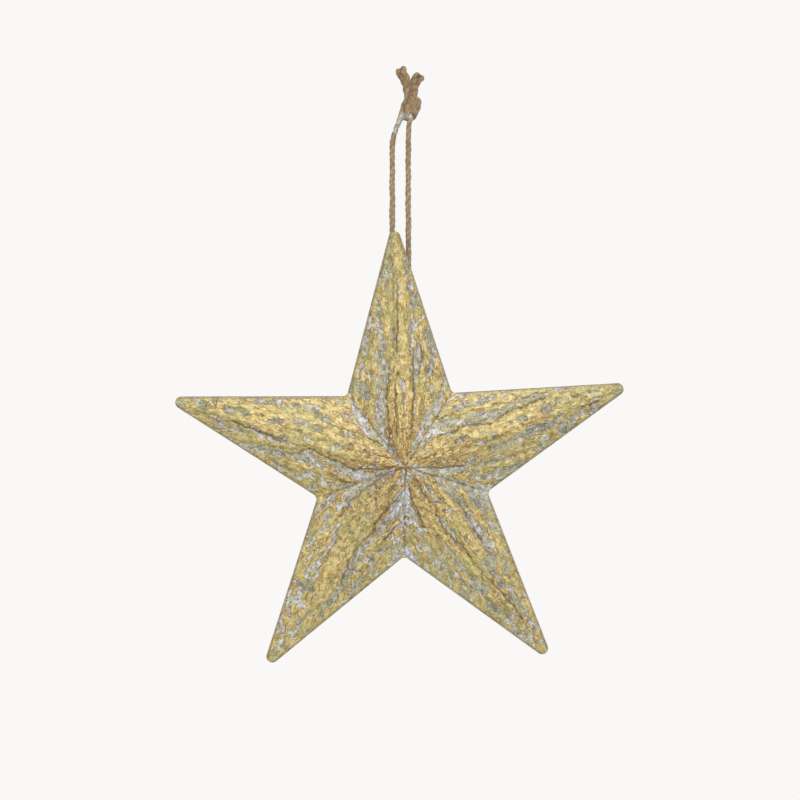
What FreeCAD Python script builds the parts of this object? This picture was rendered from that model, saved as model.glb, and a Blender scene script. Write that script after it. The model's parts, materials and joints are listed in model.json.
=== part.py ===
import FreeCAD, Part
import math
import os
import Sketcher

# A five-pointed star ornament of soldered sheet tin on a loop of jute cord.
# Row frame, in mm: +Z up, +X to the right seen from the front, the front faces -Y.
# The origin is the centre of the nail that the loop hangs on, just under the knot.

os.makedirs("parts", exist_ok=True)
doc = FreeCAD.newDocument("tin_star")
Vector = FreeCAD.Vector

# Sizes, in mm and degrees, each with the thing that it sets.
SIZES = [
    ("arm_count", 5, "points of the star"),
    ("point_reach", 140.4, "centre to where an arm's two straight edges would meet"),
    ("inner_reach", 50.0, "centre to the notch between two arms"),
    ("tip_round", 3.4, "radius of the blunt tip, on the back plate"),
    ("crown_height", 24.0, "back plate to the crown in the middle"),
    ("rim_height", 5.0, "depth of the skirt that each arm stands on"),
    ("front_sheet", 0.5, "thickness of the embossed front sheet"),
    ("back_sheet", 0.6, "thickness of the back plate"),
    ("rim_flange", 0.8, "back plate showing outside the skirts"),
    ("rim_bead", 0.6, "leg of the solder fillet along a skirt"),
    ("rim_bead_start", 1.6, "bare length beside a notch before a fillet starts"),
    ("seam_radius", 1.6, "radius of the solder run under a valley"),
    ("seam_start", 7.0, "crown to the start of a solder run"),
    ("seam_stop", 4.0, "end of a solder run to the notch"),
    ("eye_reach", 98.0, "centre to the upper leg of the hanging eye, along the top arm"),
    ("eye_offset", 2.3, "upper leg of the eye, right of the top arm's middle"),
    ("hang_tilt", 1.75, "turn to the left that the off-centre eye gives the star"),
    ("eye_wire", 2.0, "diameter of the eye's wire"),
    ("eye_pitch", 8.0, "upper leg to lower leg of the eye"),
    ("eye_bend", 2.2, "bend radius of the eye, to the middle of the wire"),
    ("eye_inside", 2.2, "length of each leg inside the star"),
    ("hole_clearance", 0.1, "wire to the wall of its hole"),
    ("blob_radius", 2.4, "foot radius of the solder on a leg's end"),
    ("blob_top_radius", 1.6, "top radius of that solder"),
    ("blob_height", 1.6, "height of that solder"),
    ("patch_width", 10.0, "width of the patch under the eye"),
    ("patch_length", 17.0, "length of that patch"),
    ("patch_corner", 2.0, "corner radius of that patch"),
    ("patch_sheet", 0.6, "thickness of that patch"),
    ("cord_diameter", 3.2, "diameter of the jute cord"),
    ("leg_spacing", 9.0, "middle to middle of the loop's two legs"),
    ("nail_drop", 92.0, "nail to the upper leg of the eye"),
    ("loop_shift", -1.2, "middle of the loop, sideways from the nail"),
    ("cord_seat", 0.3, "gap between the wire and the bight below it"),
    ("cord_clearance", 0.5, "gap between the cord and the patch, and the cord and the bow"),
    ("nail_diameter", 3.0, "nail or hook that the loop hangs on"),
    ("knot_height", 18.5, "foot to top of the knot"),
    ("overrun", 1.0, "how far a cut runs past the face that it opens"),
]

sheet = doc.addObject("Spreadsheet::Sheet", "Sizes")
for row, (alias, value, note) in enumerate(SIZES, start=1):
    sheet.set(f"A{row}", note)
    sheet.set(f"B{row}", str(value))
    sheet.setAlias(f"B{row}", alias)
doc.recompute()


def size(alias):
    return float(sheet.get(alias))


def named(label, obj):
    """Gives a finished sub-part the name of its file."""
    obj.Label = label
    sub_parts.append(obj)
    return obj


sub_parts = []

# Plan of an arm
# Seen from the front an arm is a kite: two valley lines from the centre to the notches, two straight
# edges on to the tip, and a small arc there. Every layer has this plan, drawn in by some inset.

HALF = "180 / Sizes.arm_count"
HALF_WIDTH = f"(Sizes.inner_reach * sin({HALF}))"
EDGE_RUN = (
    f"sqrt({HALF_WIDTH} ^ 2 + (Sizes.point_reach - Sizes.inner_reach * cos({HALF})) ^ 2)"
)
half_angle = math.pi / size("arm_count")
half_width = size("inner_reach") * math.sin(half_angle)
edge_run = math.hypot(half_width, size("point_reach") - size("inner_reach") * math.cos(half_angle))
edge_lean = math.asin(half_width / edge_run)
turn_per_arm = 360 / size("arm_count")


def plan(inset):
    """Notch distance, height of the tip arc's centre and its radius, for one inset."""
    notch = size("inner_reach") - inset * edge_run / (size("point_reach") * math.sin(half_angle))
    point = size("point_reach") - inset * edge_run / half_width
    radius = size("tip_round") - inset
    return notch, point - radius * edge_run / half_width, radius


def plan_formulas(inset):
    """The same three lengths as formulas of the sheet."""
    notch = f"(Sizes.inner_reach - ({inset}) * {EDGE_RUN} / (Sizes.point_reach * sin({HALF})))"
    radius = f"(Sizes.tip_round - ({inset}))"
    centre = (
        f"Sizes.point_reach - ({inset}) * {EDGE_RUN} / {HALF_WIDTH}"
        f" - {radius} * {EDGE_RUN} / {HALF_WIDTH}"
    )
    return notch, centre, radius


def draw_kite(sketch, inset, inset_formula):
    """Draws the plan of one arm, pointing up the sketch, with its centre at the origin."""
    notch, centre, radius = plan(inset)
    middle = Vector(0, 0, 0)
    right = Vector(notch * math.sin(half_angle), notch * math.cos(half_angle), 0)
    left = Vector(-right.x, right.y, 0)
    tip = Vector(0, centre, 0)
    tip_right = tip + Vector(radius * math.cos(edge_lean), radius * math.sin(edge_lean), 0)
    tip_left = Vector(-tip_right.x, tip_right.y, 0)
    circle = Part.Circle(tip, Vector(0, 0, 1), radius)
    sketch.addGeometry(
        [
            Part.LineSegment(middle, right),
            Part.LineSegment(right, tip_right),
            Part.ArcOfCircle(circle, edge_lean, math.pi - edge_lean),
            Part.LineSegment(tip_left, left),
            Part.LineSegment(left, middle),
        ],
        False,
    )
    sketch.addConstraint(
        [
            Sketcher.Constraint("Coincident", 0, 1, -1, 1),
            Sketcher.Constraint("Coincident", 0, 2, 1, 1),
            Sketcher.Constraint("Tangent", 1, 2, 2, 1),
            Sketcher.Constraint("Tangent", 2, 2, 3, 1),
            Sketcher.Constraint("Coincident", 3, 2, 4, 1),
            Sketcher.Constraint("Coincident", 4, 2, 0, 1),
            Sketcher.Constraint("Symmetric", 0, 2, 3, 2, -2),
            Sketcher.Constraint("PointOnObject", 2, 3, -2),
        ]
    )
    notch_formula, centre_formula, radius_formula = plan_formulas(inset_formula)
    for name, constraint, formula in (
        ("notch_x", ("DistanceX", -1, 1, 0, 2, right.x), f"{notch_formula} * sin({HALF})"),
        ("notch_y", ("DistanceY", -1, 1, 0, 2, right.y), f"{notch_formula} * cos({HALF})"),
        ("tip_y", ("DistanceY", -1, 1, 2, 3, centre), centre_formula),
        ("tip_r", ("Radius", 2, radius), radius_formula),
    ):
        index = sketch.addConstraint(Sketcher.Constraint(*constraint))
        sketch.renameConstraint(index, name)
        sketch.setExpression(f"Constraints.{name}", formula)


FACING_FRONT = FreeCAD.Rotation(Vector(1, 0, 0), 90)


def kite_at(name, inset, inset_formula, depth_formula):
    """A kite in a plane parallel to the back plate, so far in front of it."""
    sketch = doc.addObject("Sketcher::SketchObject", name)
    sketch.Placement = FreeCAD.Placement(Vector(0, 0, 0), FACING_FRONT)
    draw_kite(sketch, inset, inset_formula)
    sketch.setExpression("Placement.Base.y", f"-({depth_formula})")
    return sketch


def roofed_kite(name, inset, inset_formula, wall_formula, crown_formula, below_formula):
    """A kite-shaped block under a roof whose faces all rise to the crown over its corner."""
    foot = kite_at(f"{name}_foot", inset, inset_formula, "0")
    block = doc.addObject("Part::Extrusion", f"{name}_block")
    block.Base = foot
    block.DirMode = "Normal"
    block.Solid = True
    block.setExpression("LengthFwd", wall_formula)
    block.setExpression("LengthRev", below_formula)
    eaves = kite_at(f"{name}_eaves", inset, inset_formula, wall_formula)
    crown = doc.addObject("Part::Vertex", f"{name}_crown")
    crown.setExpression("Y", f"-({crown_formula})")
    roof = doc.addObject("Part::Loft", f"{name}_roof")
    roof.Sections = [eaves, crown]
    roof.Solid = True
    roof.Ruled = True
    whole = doc.addObject("Part::MultiFuse", f"{name}_whole")
    whole.Shapes = [block, roof]
    whole.Refine = True
    return whole


# Place of the star
# Its own frame has the centre of the back plate's front face at the origin, the top arm along +Z and
# the front towards -Y. The off-centre eye turns it a little as it hangs.

star_turn = FreeCAD.Rotation(Vector(0, 1, 0), -size("hang_tilt"))
patch_back_y = -(size("cord_diameter") / 2 + size("cord_clearance"))
plate_front_y = patch_back_y - size("patch_sheet") - size("back_sheet")
eye_in_star = Vector(size("eye_offset"), 0, size("eye_reach"))
eye_in_row = Vector(size("loop_shift"), plate_front_y, -size("nail_drop"))
star_place = FreeCAD.Placement(eye_in_row - star_turn.multVec(eye_in_star), star_turn)


def in_star(offset, rotation=None):
    """A place given in the star's own frame."""
    return star_place.multiply(FreeCAD.Placement(offset, rotation or FreeCAD.Rotation()))


def arm_turn(index):
    """The turn from the top arm to another one, counted to the right."""
    return FreeCAD.Rotation(Vector(0, 1, 0), index * turn_per_arm)


# Front arms
# Five kites of embossed sheet, bent along the ridge, with skirts turned back along the outer edges.
# They butt along the valleys. The hollow keeps the sheet's thickness square to each face.

ARMS = ["top", "upper_right", "lower_right", "lower_left", "upper_left"]
EDGE_DISTANCE = f"({HALF_WIDTH} * Sizes.point_reach / {EDGE_RUN} - Sizes.rim_flange)"
SLOPE = f"((Sizes.crown_height - Sizes.rim_height) / {EDGE_DISTANCE})"
DROP = f"(Sizes.front_sheet * sqrt(1 + {SLOPE} ^ 2))"
HOLLOW_WALL = f"Sizes.rim_height - {DROP} + {SLOPE} * Sizes.front_sheet"
HOLLOW_CROWN = f"Sizes.crown_height - {DROP}"
edge_distance = half_width * size("point_reach") / edge_run - size("rim_flange")
slope = (size("crown_height") - size("rim_height")) / edge_distance
drop = size("front_sheet") * math.hypot(1, slope)
hollow_wall = size("rim_height") - drop + slope * size("front_sheet")
hollow_crown = size("crown_height") - drop

hollows = []
for index, arm in enumerate(ARMS):
    outside = roofed_kite(
        f"{arm}_outside",
        size("rim_flange"),
        "Sizes.rim_flange",
        "Sizes.rim_height",
        "Sizes.crown_height",
        "0",
    )
    hollow = roofed_kite(
        f"{arm}_hollow",
        size("rim_flange") + size("front_sheet"),
        "Sizes.rim_flange + Sizes.front_sheet",
        HOLLOW_WALL,
        HOLLOW_CROWN,
        "Sizes.overrun",
    )
    hollows.append(hollow)
    shell = doc.addObject("Part::Cut", f"{arm}_shell")
    shell.Base = outside
    shell.Tool = hollow
    shell.Placement = star_place.multiply(FreeCAD.Placement(Vector(0, 0, 0), arm_turn(index)))
    named(f"front_arm_{arm}", shell)

# Valley solder
# A run of solder fills the angle under each valley. Each half of a run fills its own arm's hollow,
# round the hollow's edge, and the two halves of a valley are one piece.


def valley_half(name, hollow, side):
    """The part of a round run along one valley that lies in one arm's hollow."""
    notch = plan(size("rim_flange") + size("front_sheet"))[0]
    crown = Vector(0, -hollow_crown, 0)
    corner = Vector(side * notch * math.sin(half_angle), -hollow_wall, notch * math.cos(half_angle))
    along = corner - crown
    run = doc.addObject("Part::Cylinder", f"{name}_run")
    run.setExpression("Radius", "Sizes.seam_radius")
    run.Height = along.Length - size("seam_start") - size("seam_stop")
    along.normalize()
    run.Placement = FreeCAD.Placement(
        crown + along * size("seam_start"), FreeCAD.Rotation(Vector(0, 0, 1), along)
    )
    half = doc.addObject("Part::MultiCommon", name)
    half.Shapes = [hollow, run]
    return half


right_halves = []
left_halves = []
for index, arm in enumerate(ARMS):
    for side, halves in ((1, right_halves), (-1, left_halves)):
        half = valley_half(f"{arm}_seam_{'right' if side > 0 else 'left'}", hollows[index], side)
        half.Placement = FreeCAD.Placement(Vector(0, 0, 0), arm_turn(index))
        halves.append(half)
seams = []
for index, arm in enumerate(ARMS):
    seam = doc.addObject("Part::MultiFuse", f"seam_after_{arm}")
    seam.Shapes = [right_halves[index], left_halves[(index + 1) % len(ARMS)]]
    seam.Refine = True
    seams.append(seam)
valley_solder = doc.addObject("Part::Compound", "valley_solder_runs")
valley_solder.Links = seams
valley_solder.Placement = star_place
named("valley_solder", valley_solder)

# Back plate
# A flat star of tinplate a little larger than the skirts, with two holes for the eye's legs.


def origin_plane(body, role):
    return next(f for f in body.Origin.OriginFeatures if f.Role == role)


def flat_sketch(body, name, role):
    """A sketch on one of the body's own origin planes."""
    sketch = body.newObject("Sketcher::SketchObject", name)
    sketch.AttachmentSupport = [(origin_plane(body, role), "")]
    sketch.MapMode = "FlatFace"
    return sketch


def leg_holes(body, name, upper, x_formula, upper_formula):
    """Cuts the two round holes that the eye's legs pass through, the upper one at the given point."""
    sketch = flat_sketch(body, f"{name}_sketch", "XZ_Plane")
    radius = size("eye_wire") / 2 + size("hole_clearance")
    for number in (0, 1):
        middle = upper - Vector(0, number * size("eye_pitch"), 0)
        hole = sketch.addGeometry(Part.Circle(middle, Vector(0, 0, 1), radius), False)
        for label, constraint, formula in (
            (f"x_{number}", ("DistanceX", -1, 1, hole, 3, middle.x), x_formula),
            (
                f"z_{number}",
                ("DistanceY", -1, 1, hole, 3, middle.y),
                f"{upper_formula} - {number} * Sizes.eye_pitch",
            ),
            (f"r_{number}", ("Radius", hole, radius), "Sizes.eye_wire / 2 + Sizes.hole_clearance"),
        ):
            place = sketch.addConstraint(Sketcher.Constraint(*constraint))
            sketch.renameConstraint(place, label)
            sketch.setExpression(f"Constraints.{label}", formula)
    doc.recompute()
    before = body.Shape.Volume
    cut = body.newObject("PartDesign::Pocket", name)
    cut.Profile = sketch
    cut.Type = "ThroughAll"
    cut.Midplane = True
    doc.recompute()
    if body.Shape.Volume >= before:
        raise RuntimeError(f"{name} cuts nothing")


plate = doc.addObject("PartDesign::Body", "plate_body")
plate_sketch = flat_sketch(plate, "plate_kite", "XZ_Plane")
draw_kite(plate_sketch, 0, "0")
plate_pad = plate.newObject("PartDesign::Pad", "plate_pad")
plate_pad.Profile = plate_sketch
plate_pad.Reversed = True
plate_pad.setExpression("Length", "Sizes.back_sheet")
doc.recompute()
plate_arms = plate.newObject("PartDesign::PolarPattern", "plate_arms")
plate_arms.Originals = [plate_pad]
plate_arms.Axis = (origin_plane(plate, "Y_Axis"), [""])
plate_arms.Angle = 360
plate_arms.setExpression("Occurrences", "Sizes.arm_count")
plate_arms.Refine = True
plate.Tip = plate_arms
doc.recompute()
upper_hole = Vector(size("eye_offset"), size("eye_reach"), 0)
leg_holes(plate, "plate_holes", upper_hole, "Sizes.eye_offset", "Sizes.eye_reach")
plate.Placement = star_place
named("back_plate", plate)

# Rim solder
# A small fillet along each straight stretch of skirt, on the flange of the back plate.


def rim_fillet(name, side):
    """A three-sided bead against one skirt of the top arm, with its place in that arm."""
    notch, centre, radius = plan(size("rim_flange"))
    outward = Vector(side * math.cos(edge_lean), 0, math.sin(edge_lean))
    towards_tip = Vector(-side * math.sin(edge_lean), 0, math.cos(edge_lean))
    corner = Vector(side * notch * math.sin(half_angle), 0, notch * math.cos(half_angle))
    tip = Vector(0, 0, centre) + outward * radius
    corner = corner + towards_tip * size("rim_bead_start")
    bead = doc.addObject("Part::Wedge", name)
    bead.Xmin = bead.Ymin = bead.Zmin = bead.X2min = bead.Z2min = bead.X2max = 0
    bead.setExpression("Xmax", "Sizes.rim_bead")
    bead.setExpression("Ymax", "Sizes.rim_bead")
    bead.Zmax = (tip - corner).Length
    bead.Z2max = bead.Zmax
    forward = Vector(0, -1, 0)
    start, along = (tip, towards_tip * -1) if side > 0 else (corner, towards_tip)
    turn = FreeCAD.Rotation(outward, forward, along, "ZXY")
    return bead, FreeCAD.Placement(start, turn)


fillets = []
for index, arm in enumerate(ARMS):
    for side in (1, -1):
        bead, place = rim_fillet(f"{arm}_fillet_{'right' if side > 0 else 'left'}", side)
        turned = FreeCAD.Placement(Vector(0, 0, 0), arm_turn(index))
        bead.Placement = turned.multiply(place)
        fillets.append(bead)
rim_solder = doc.addObject("Part::Compound", "rim_solder_fillets")
rim_solder.Links = fillets
rim_solder.Placement = star_place
named("rim_solder", rim_solder)

# Eye patch
# A rounded rectangle of tinplate, soldered to the back plate where the eye stands.

patch = doc.addObject("PartDesign::Body", "patch_body")
patch_sketch = flat_sketch(patch, "patch_outline", "XZ_Plane")
reach_x = size("patch_width") / 2
reach_z = size("patch_length") / 2
corners = [
    Vector(-reach_x, -reach_z, 0),
    Vector(reach_x, -reach_z, 0),
    Vector(reach_x, reach_z, 0),
    Vector(-reach_x, reach_z, 0),
]
for number in range(len(corners)):
    patch_sketch.addGeometry(
        Part.LineSegment(corners[number], corners[(number + 1) % len(corners)]), False
    )
for number in range(len(corners)):
    follower = (number + 1) % len(corners)
    patch_sketch.addConstraint(Sketcher.Constraint("Coincident", number, 2, follower, 1))
for number, way in enumerate(("Horizontal", "Vertical", "Horizontal", "Vertical")):
    patch_sketch.addConstraint(Sketcher.Constraint(way, number))
patch_sketch.addConstraint(Sketcher.Constraint("Symmetric", 0, 1, 2, 1, -1, 1))
wide = patch_sketch.addConstraint(Sketcher.Constraint("DistanceX", 0, 1, 0, 2, 2 * reach_x))
tall = patch_sketch.addConstraint(Sketcher.Constraint("DistanceY", 1, 1, 1, 2, 2 * reach_z))
patch_sketch.renameConstraint(wide, "wide")
patch_sketch.renameConstraint(tall, "tall")
patch_sketch.setExpression("Constraints.wide", "Sizes.patch_width")
patch_sketch.setExpression("Constraints.tall", "Sizes.patch_length")
patch_pad = patch.newObject("PartDesign::Pad", "patch_pad")
patch_pad.Profile = patch_sketch
patch_pad.Reversed = True
patch_pad.setExpression("Length", "Sizes.patch_sheet")
doc.recompute()
upright = [
    f"Edge{number}"
    for number, edge in enumerate(patch_pad.Shape.Edges, start=1)
    if abs(edge.tangentAt(edge.FirstParameter).y) > math.cos(math.radians(1))
]
patch_round = patch.newObject("PartDesign::Fillet", "patch_corners")
patch_round.Base = (patch_pad, upright)
patch_round.setExpression("Radius", "Sizes.patch_corner")
patch.Tip = patch_round
doc.recompute()
upper_hole = Vector(0, size("eye_pitch") / 2, 0)
leg_holes(patch, "patch_holes", upper_hole, "0", "Sizes.eye_pitch / 2")
patch.Placement = in_star(
    Vector(size("eye_offset"), size("back_sheet"), size("eye_reach") - size("eye_pitch") / 2)
)
named("eye_patch", patch)

# Hanging eye
# A staple of round wire. Its two legs pass through the patch and the back plate and are soldered
# inside. The cord's bight goes under the upper leg.

eye = doc.addObject("PartDesign::Body", "eye_body")
leg_length = (
    size("eye_inside")
    + size("back_sheet")
    + size("patch_sheet")
    + 2 * size("cord_clearance")
    + size("cord_diameter")
    + size("eye_wire") / 2
)
eye_path = flat_sketch(eye, "eye_path", "YZ_Plane")
bend = size("eye_bend")
pitch = size("eye_pitch")
upper_bend = Vector(leg_length - bend, -bend, 0)
lower_bend = Vector(leg_length - bend, bend - pitch, 0)
upward = Vector(0, 0, 1)
eye_path.addGeometry(
    [
        Part.LineSegment(Vector(0, 0, 0), Vector(leg_length - bend, 0, 0)),
        Part.ArcOfCircle(Part.Circle(upper_bend, upward, bend), 0, math.pi / 2),
        Part.LineSegment(Vector(leg_length, -bend, 0), Vector(leg_length, bend - pitch, 0)),
        Part.ArcOfCircle(Part.Circle(lower_bend, upward, bend), -math.pi / 2, 0),
        Part.LineSegment(Vector(leg_length - bend, -pitch, 0), Vector(0, -pitch, 0)),
    ],
    False,
)
eye_path.addConstraint(
    [
        Sketcher.Constraint("Coincident", 0, 1, -1, 1),
        Sketcher.Constraint("Horizontal", 0),
        Sketcher.Constraint("Tangent", 0, 2, 1, 2),
        Sketcher.Constraint("Tangent", 1, 1, 2, 1),
        Sketcher.Constraint("Vertical", 2),
        Sketcher.Constraint("Tangent", 2, 2, 3, 2),
        Sketcher.Constraint("Tangent", 3, 1, 4, 1),
        Sketcher.Constraint("Horizontal", 4),
        Sketcher.Constraint("PointOnObject", 4, 2, -2),
        Sketcher.Constraint("Equal", 1, 3),
    ]
)
for name, constraint, formula in (
    ("bend", ("Radius", 1, bend), "Sizes.eye_bend"),
    ("pitch", ("DistanceY", 4, 2, 0, 1, pitch), "Sizes.eye_pitch"),
    (
        "stand",
        ("DistanceX", 0, 1, 2, 1, leg_length),
        "Sizes.eye_inside + Sizes.back_sheet + Sizes.patch_sheet + 2 * Sizes.cord_clearance"
        " + Sizes.cord_diameter + Sizes.eye_wire / 2",
    ),
):
    place = eye_path.addConstraint(Sketcher.Constraint(*constraint))
    eye_path.renameConstraint(place, name)
    eye_path.setExpression(f"Constraints.{name}", formula)
eye_round = flat_sketch(eye, "eye_section", "XZ_Plane")
eye_round.addGeometry(Part.Circle(Vector(0, 0, 0), upward, size("eye_wire") / 2), False)
eye_round.addConstraint(Sketcher.Constraint("Coincident", 0, 3, -1, 1))
place = eye_round.addConstraint(Sketcher.Constraint("Radius", 0, size("eye_wire") / 2))
eye_round.renameConstraint(place, "wire")
eye_round.setExpression("Constraints.wire", "Sizes.eye_wire / 2")
doc.recompute()
eye_sweep = eye.newObject("PartDesign::AdditivePipe", "eye_wire_sweep")
eye_sweep.Profile = eye_round
eye_sweep.Spine = (eye_path, [f"Edge{number + 1}" for number in range(len(eye_path.Shape.Edges))])
eye.Tip = eye_sweep
eye.Placement = in_star(Vector(size("eye_offset"), -size("eye_inside"), size("eye_reach")))
named("hanging_eye", eye)

# Eye solder
# A blob round the end of each leg, inside the star on the back plate.

blobs = []
for number in (0, 1):
    cone = doc.addObject("Part::Cone", f"blob_{number}_cone")
    cone.setExpression("Radius1", "Sizes.blob_radius")
    cone.setExpression("Radius2", "Sizes.blob_top_radius")
    cone.setExpression("Height", "Sizes.blob_height")
    core = doc.addObject("Part::Cylinder", f"blob_{number}_core")
    core.setExpression("Radius", "Sizes.eye_wire / 2")
    core.setExpression("Height", "Sizes.blob_height + 2 * Sizes.overrun")
    core.setExpression("Placement.Base.z", "-Sizes.overrun")
    blob = doc.addObject("Part::Cut", f"blob_{number}")
    blob.Base = cone
    blob.Tool = core
    blob.Placement = FreeCAD.Placement(
        Vector(size("eye_offset"), 0, size("eye_reach") - number * size("eye_pitch")), FACING_FRONT
    )
    blobs.append(blob)
eye_solder = doc.addObject("Part::Compound", "eye_solder_blobs")
eye_solder.Links = blobs
eye_solder.Placement = star_place
named("eye_solder", eye_solder)

# Cord
# One length of three-ply jute, doubled through the eye and knotted above the nail. Its free stretches
# are straight runs joined by arcs that touch both runs.

cord_radius = size("cord_diameter") / 2
loop_radius = size("leg_spacing") / 2
bight_z = -size("nail_drop") + loop_radius - cord_radius - size("eye_wire") / 2 - size("cord_seat")
knot_foot_z = size("nail_diameter") / 2
left_x = size("loop_shift") - loop_radius
right_x = size("loop_shift") + loop_radius


def rounded_route(points):
    """Straight runs between the points, with an arc at each inner one, and the arcs' radii."""
    arc_share = 0.45
    edges = []
    radii = []
    start = points[0]
    for before, corner, after in zip(points, points[1:], points[2:]):
        towards = (before - corner).normalize()
        away = (after - corner).normalize()
        turn = math.pi - towards.getAngle(away)
        cut_back = arc_share * min((corner - before).Length, (after - corner).Length)
        radius = cut_back / math.tan(turn / 2)
        inwards = (towards + away).normalize()
        middle = corner + inwards * (radius / math.cos(turn / 2) - radius)
        first = corner + towards * cut_back
        last = corner + away * cut_back
        edges.append(Part.LineSegment(start, first).toShape())
        edges.append(Part.Arc(first, middle, last).toShape())
        radii.append(round(radius, 1))
        start = last
    edges.append(Part.LineSegment(start, points[-1]).toShape())
    return Part.Wire(edges), radii


def cord_tube(name, places):
    """A plain round tube along a route, compared with its section times its length."""
    points = [Vector(*place) for place in places]
    wire, radii = rounded_route(points)
    along = points[1] - points[0]
    section = Part.Wire(Part.makeCircle(cord_radius, points[0], along))
    shape = wire.makePipeShell([section], True, False)
    ratio = shape.Volume / (math.pi * cord_radius**2 * wire.Length)
    print(f"{name}: length {wire.Length:.1f}, arc radii {radii}, volume ratio {ratio:.4f}")
    tube = doc.addObject("Part::Feature", name)
    tube.Shape = shape
    return tube


# Left leg: hangs straight from the bight, then leans in under the knot.
left_route = [
    (left_x, 0, bight_z),
    (left_x, 0, -6.2),
    (-1.9, 0, 3.2),
]
left_tube = cord_tube("left_leg_tube", left_route)
knot_room = doc.addObject("Part::Box", "room_above_left_leg")
knot_room.setExpression("Length", "6 * Sizes.cord_diameter")
knot_room.setExpression("Width", "6 * Sizes.cord_diameter")
knot_room.setExpression("Height", "6 * Sizes.cord_diameter")
knot_room.Placement.Base = Vector(
    left_x - size("cord_diameter"), -3 * size("cord_diameter"), knot_foot_z
)
left_leg = doc.addObject("Part::Cut", "left_leg_cut")
left_leg.Base = left_tube
left_leg.Tool = knot_room
named("cord_leg_left", left_leg)

# Right leg: straight from the bight to the knot.
right_leg = doc.addObject("Part::Cylinder", "right_leg_tube")
right_leg.setExpression("Radius", "Sizes.cord_diameter / 2")
right_leg.Height = knot_foot_z - bight_z
right_leg.Placement = FreeCAD.Placement(Vector(right_x, 0, bight_z), FreeCAD.Rotation())
named("cord_leg_right", right_leg)

# Bight: the half turn that carries the upper leg of the eye.
bight = doc.addObject("Part::Torus", "bight_ring")
bight.setExpression("Radius1", "Sizes.leg_spacing / 2")
bight.setExpression("Radius2", "Sizes.cord_diameter / 2")
bight.Angle3 = 180
bight.Placement = FreeCAD.Placement(
    Vector(size("loop_shift"), 0, bight_z), FreeCAD.Rotation(Vector(1, 0, 0), -90)
)
named("cord_bight", bight)

# Knot: both legs tied together in one overhand knot, a barrel that leans to the right. Each section is
# a circle, at a share of the knot's height, with its middle and its radius as shares of the cord.
KNOT_SHARES = [
    (0.0, 0.16, 1.50),
    (0.25, 0.69, 1.55),
    (0.5, 1.22, 1.80),
    (0.72, 1.50, 1.75),
    (0.9, 1.44, 1.35),
    (1.0, 1.28, 1.12),
]
rings = []
for number, (height_share, middle_share, radius_share) in enumerate(KNOT_SHARES):
    ring = doc.addObject("Part::Circle", f"knot_ring_{number}")
    ring.setExpression("Radius", f"{radius_share} * Sizes.cord_diameter")
    ring.Placement.Base = Vector(
        middle_share * size("cord_diameter"), 0, knot_foot_z + height_share * size("knot_height")
    )
    rings.append(ring)
knot = doc.addObject("Part::Loft", "knot_barrel")
knot.Sections = rings
knot.Solid = True
knot.Ruled = True
named("cord_knot", knot)

# Tails: the two cut ends, crossing as they leave the knot.
knot_top_z = knot_foot_z + size("knot_height")
named(
    "cord_tail_left",
    cord_tube(
        "left_tail_tube",
        [(3.0, -1.4, knot_top_z), (3.0, -1.4, 23.0), (1.2, -1.5, 27.6), (-1.6, -1.3, 33.0)],
    ),
)
named(
    "cord_tail_right",
    cord_tube(
        "right_tail_tube",
        [(5.6, 1.4, knot_top_z), (5.6, 1.4, 22.6), (7.2, 1.4, 26.2), (9.8, 1.2, 30.0)],
    ),
)

doc.recompute()

# Every object is sound, and every sub-part is a valid solid or a group of them, before any is written.
for obj in doc.Objects:
    if "Invalid" in obj.State or "Error" in obj.State:
        raise RuntimeError(f"{obj.Name} failed: {obj.State}")
for obj in sub_parts:
    if obj.Shape.isNull() or not obj.Shape.isValid() or not obj.Shape.Solids:
        raise RuntimeError(f"{obj.Label} has no valid solid")
for obj in sub_parts:
    obj.Shape.exportStep(f"parts/{obj.Label}.step")
    print(f"{obj.Label}: {len(obj.Shape.Solids)} solid(s), {obj.Shape.Volume:.1f} mm3")
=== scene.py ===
import json
import math

import bmesh
import bpy
import numpy as np
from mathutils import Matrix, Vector


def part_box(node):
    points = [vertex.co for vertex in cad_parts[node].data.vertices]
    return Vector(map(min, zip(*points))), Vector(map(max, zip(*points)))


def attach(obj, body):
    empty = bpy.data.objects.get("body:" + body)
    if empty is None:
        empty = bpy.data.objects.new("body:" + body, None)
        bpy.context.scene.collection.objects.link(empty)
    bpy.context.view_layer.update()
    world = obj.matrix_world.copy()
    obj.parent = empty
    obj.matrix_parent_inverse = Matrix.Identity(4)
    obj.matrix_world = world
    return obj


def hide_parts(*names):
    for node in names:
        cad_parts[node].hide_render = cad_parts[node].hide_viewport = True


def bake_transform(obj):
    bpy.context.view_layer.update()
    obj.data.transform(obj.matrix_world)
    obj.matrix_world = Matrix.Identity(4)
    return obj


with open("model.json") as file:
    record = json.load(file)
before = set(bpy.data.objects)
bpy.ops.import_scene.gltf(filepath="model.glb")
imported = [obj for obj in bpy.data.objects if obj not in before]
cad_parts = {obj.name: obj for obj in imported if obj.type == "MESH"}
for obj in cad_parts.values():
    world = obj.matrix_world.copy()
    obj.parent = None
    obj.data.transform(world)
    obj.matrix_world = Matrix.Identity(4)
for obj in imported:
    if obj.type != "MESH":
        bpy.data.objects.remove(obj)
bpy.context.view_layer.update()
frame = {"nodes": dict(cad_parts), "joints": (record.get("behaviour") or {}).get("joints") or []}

# Back plate: a flat star snipped from 0.6 mm tinplate, a little larger than the arms that sit on it.
# Its bare back has dulled to a warm grey, with darker tarnish, wiping marks and a few specks of rust.
mm = 0.001
painted_depth = 0.45 * mm
tin_bright, tin_dull, tin_tarnish = (168, 163, 150), (136, 131, 118), (98, 90, 76)
rust_brown, water_brown = (112, 74, 44), (122, 104, 78)
rim_gilt, rim_olive = (178, 158, 106), (120, 112, 78)


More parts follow.
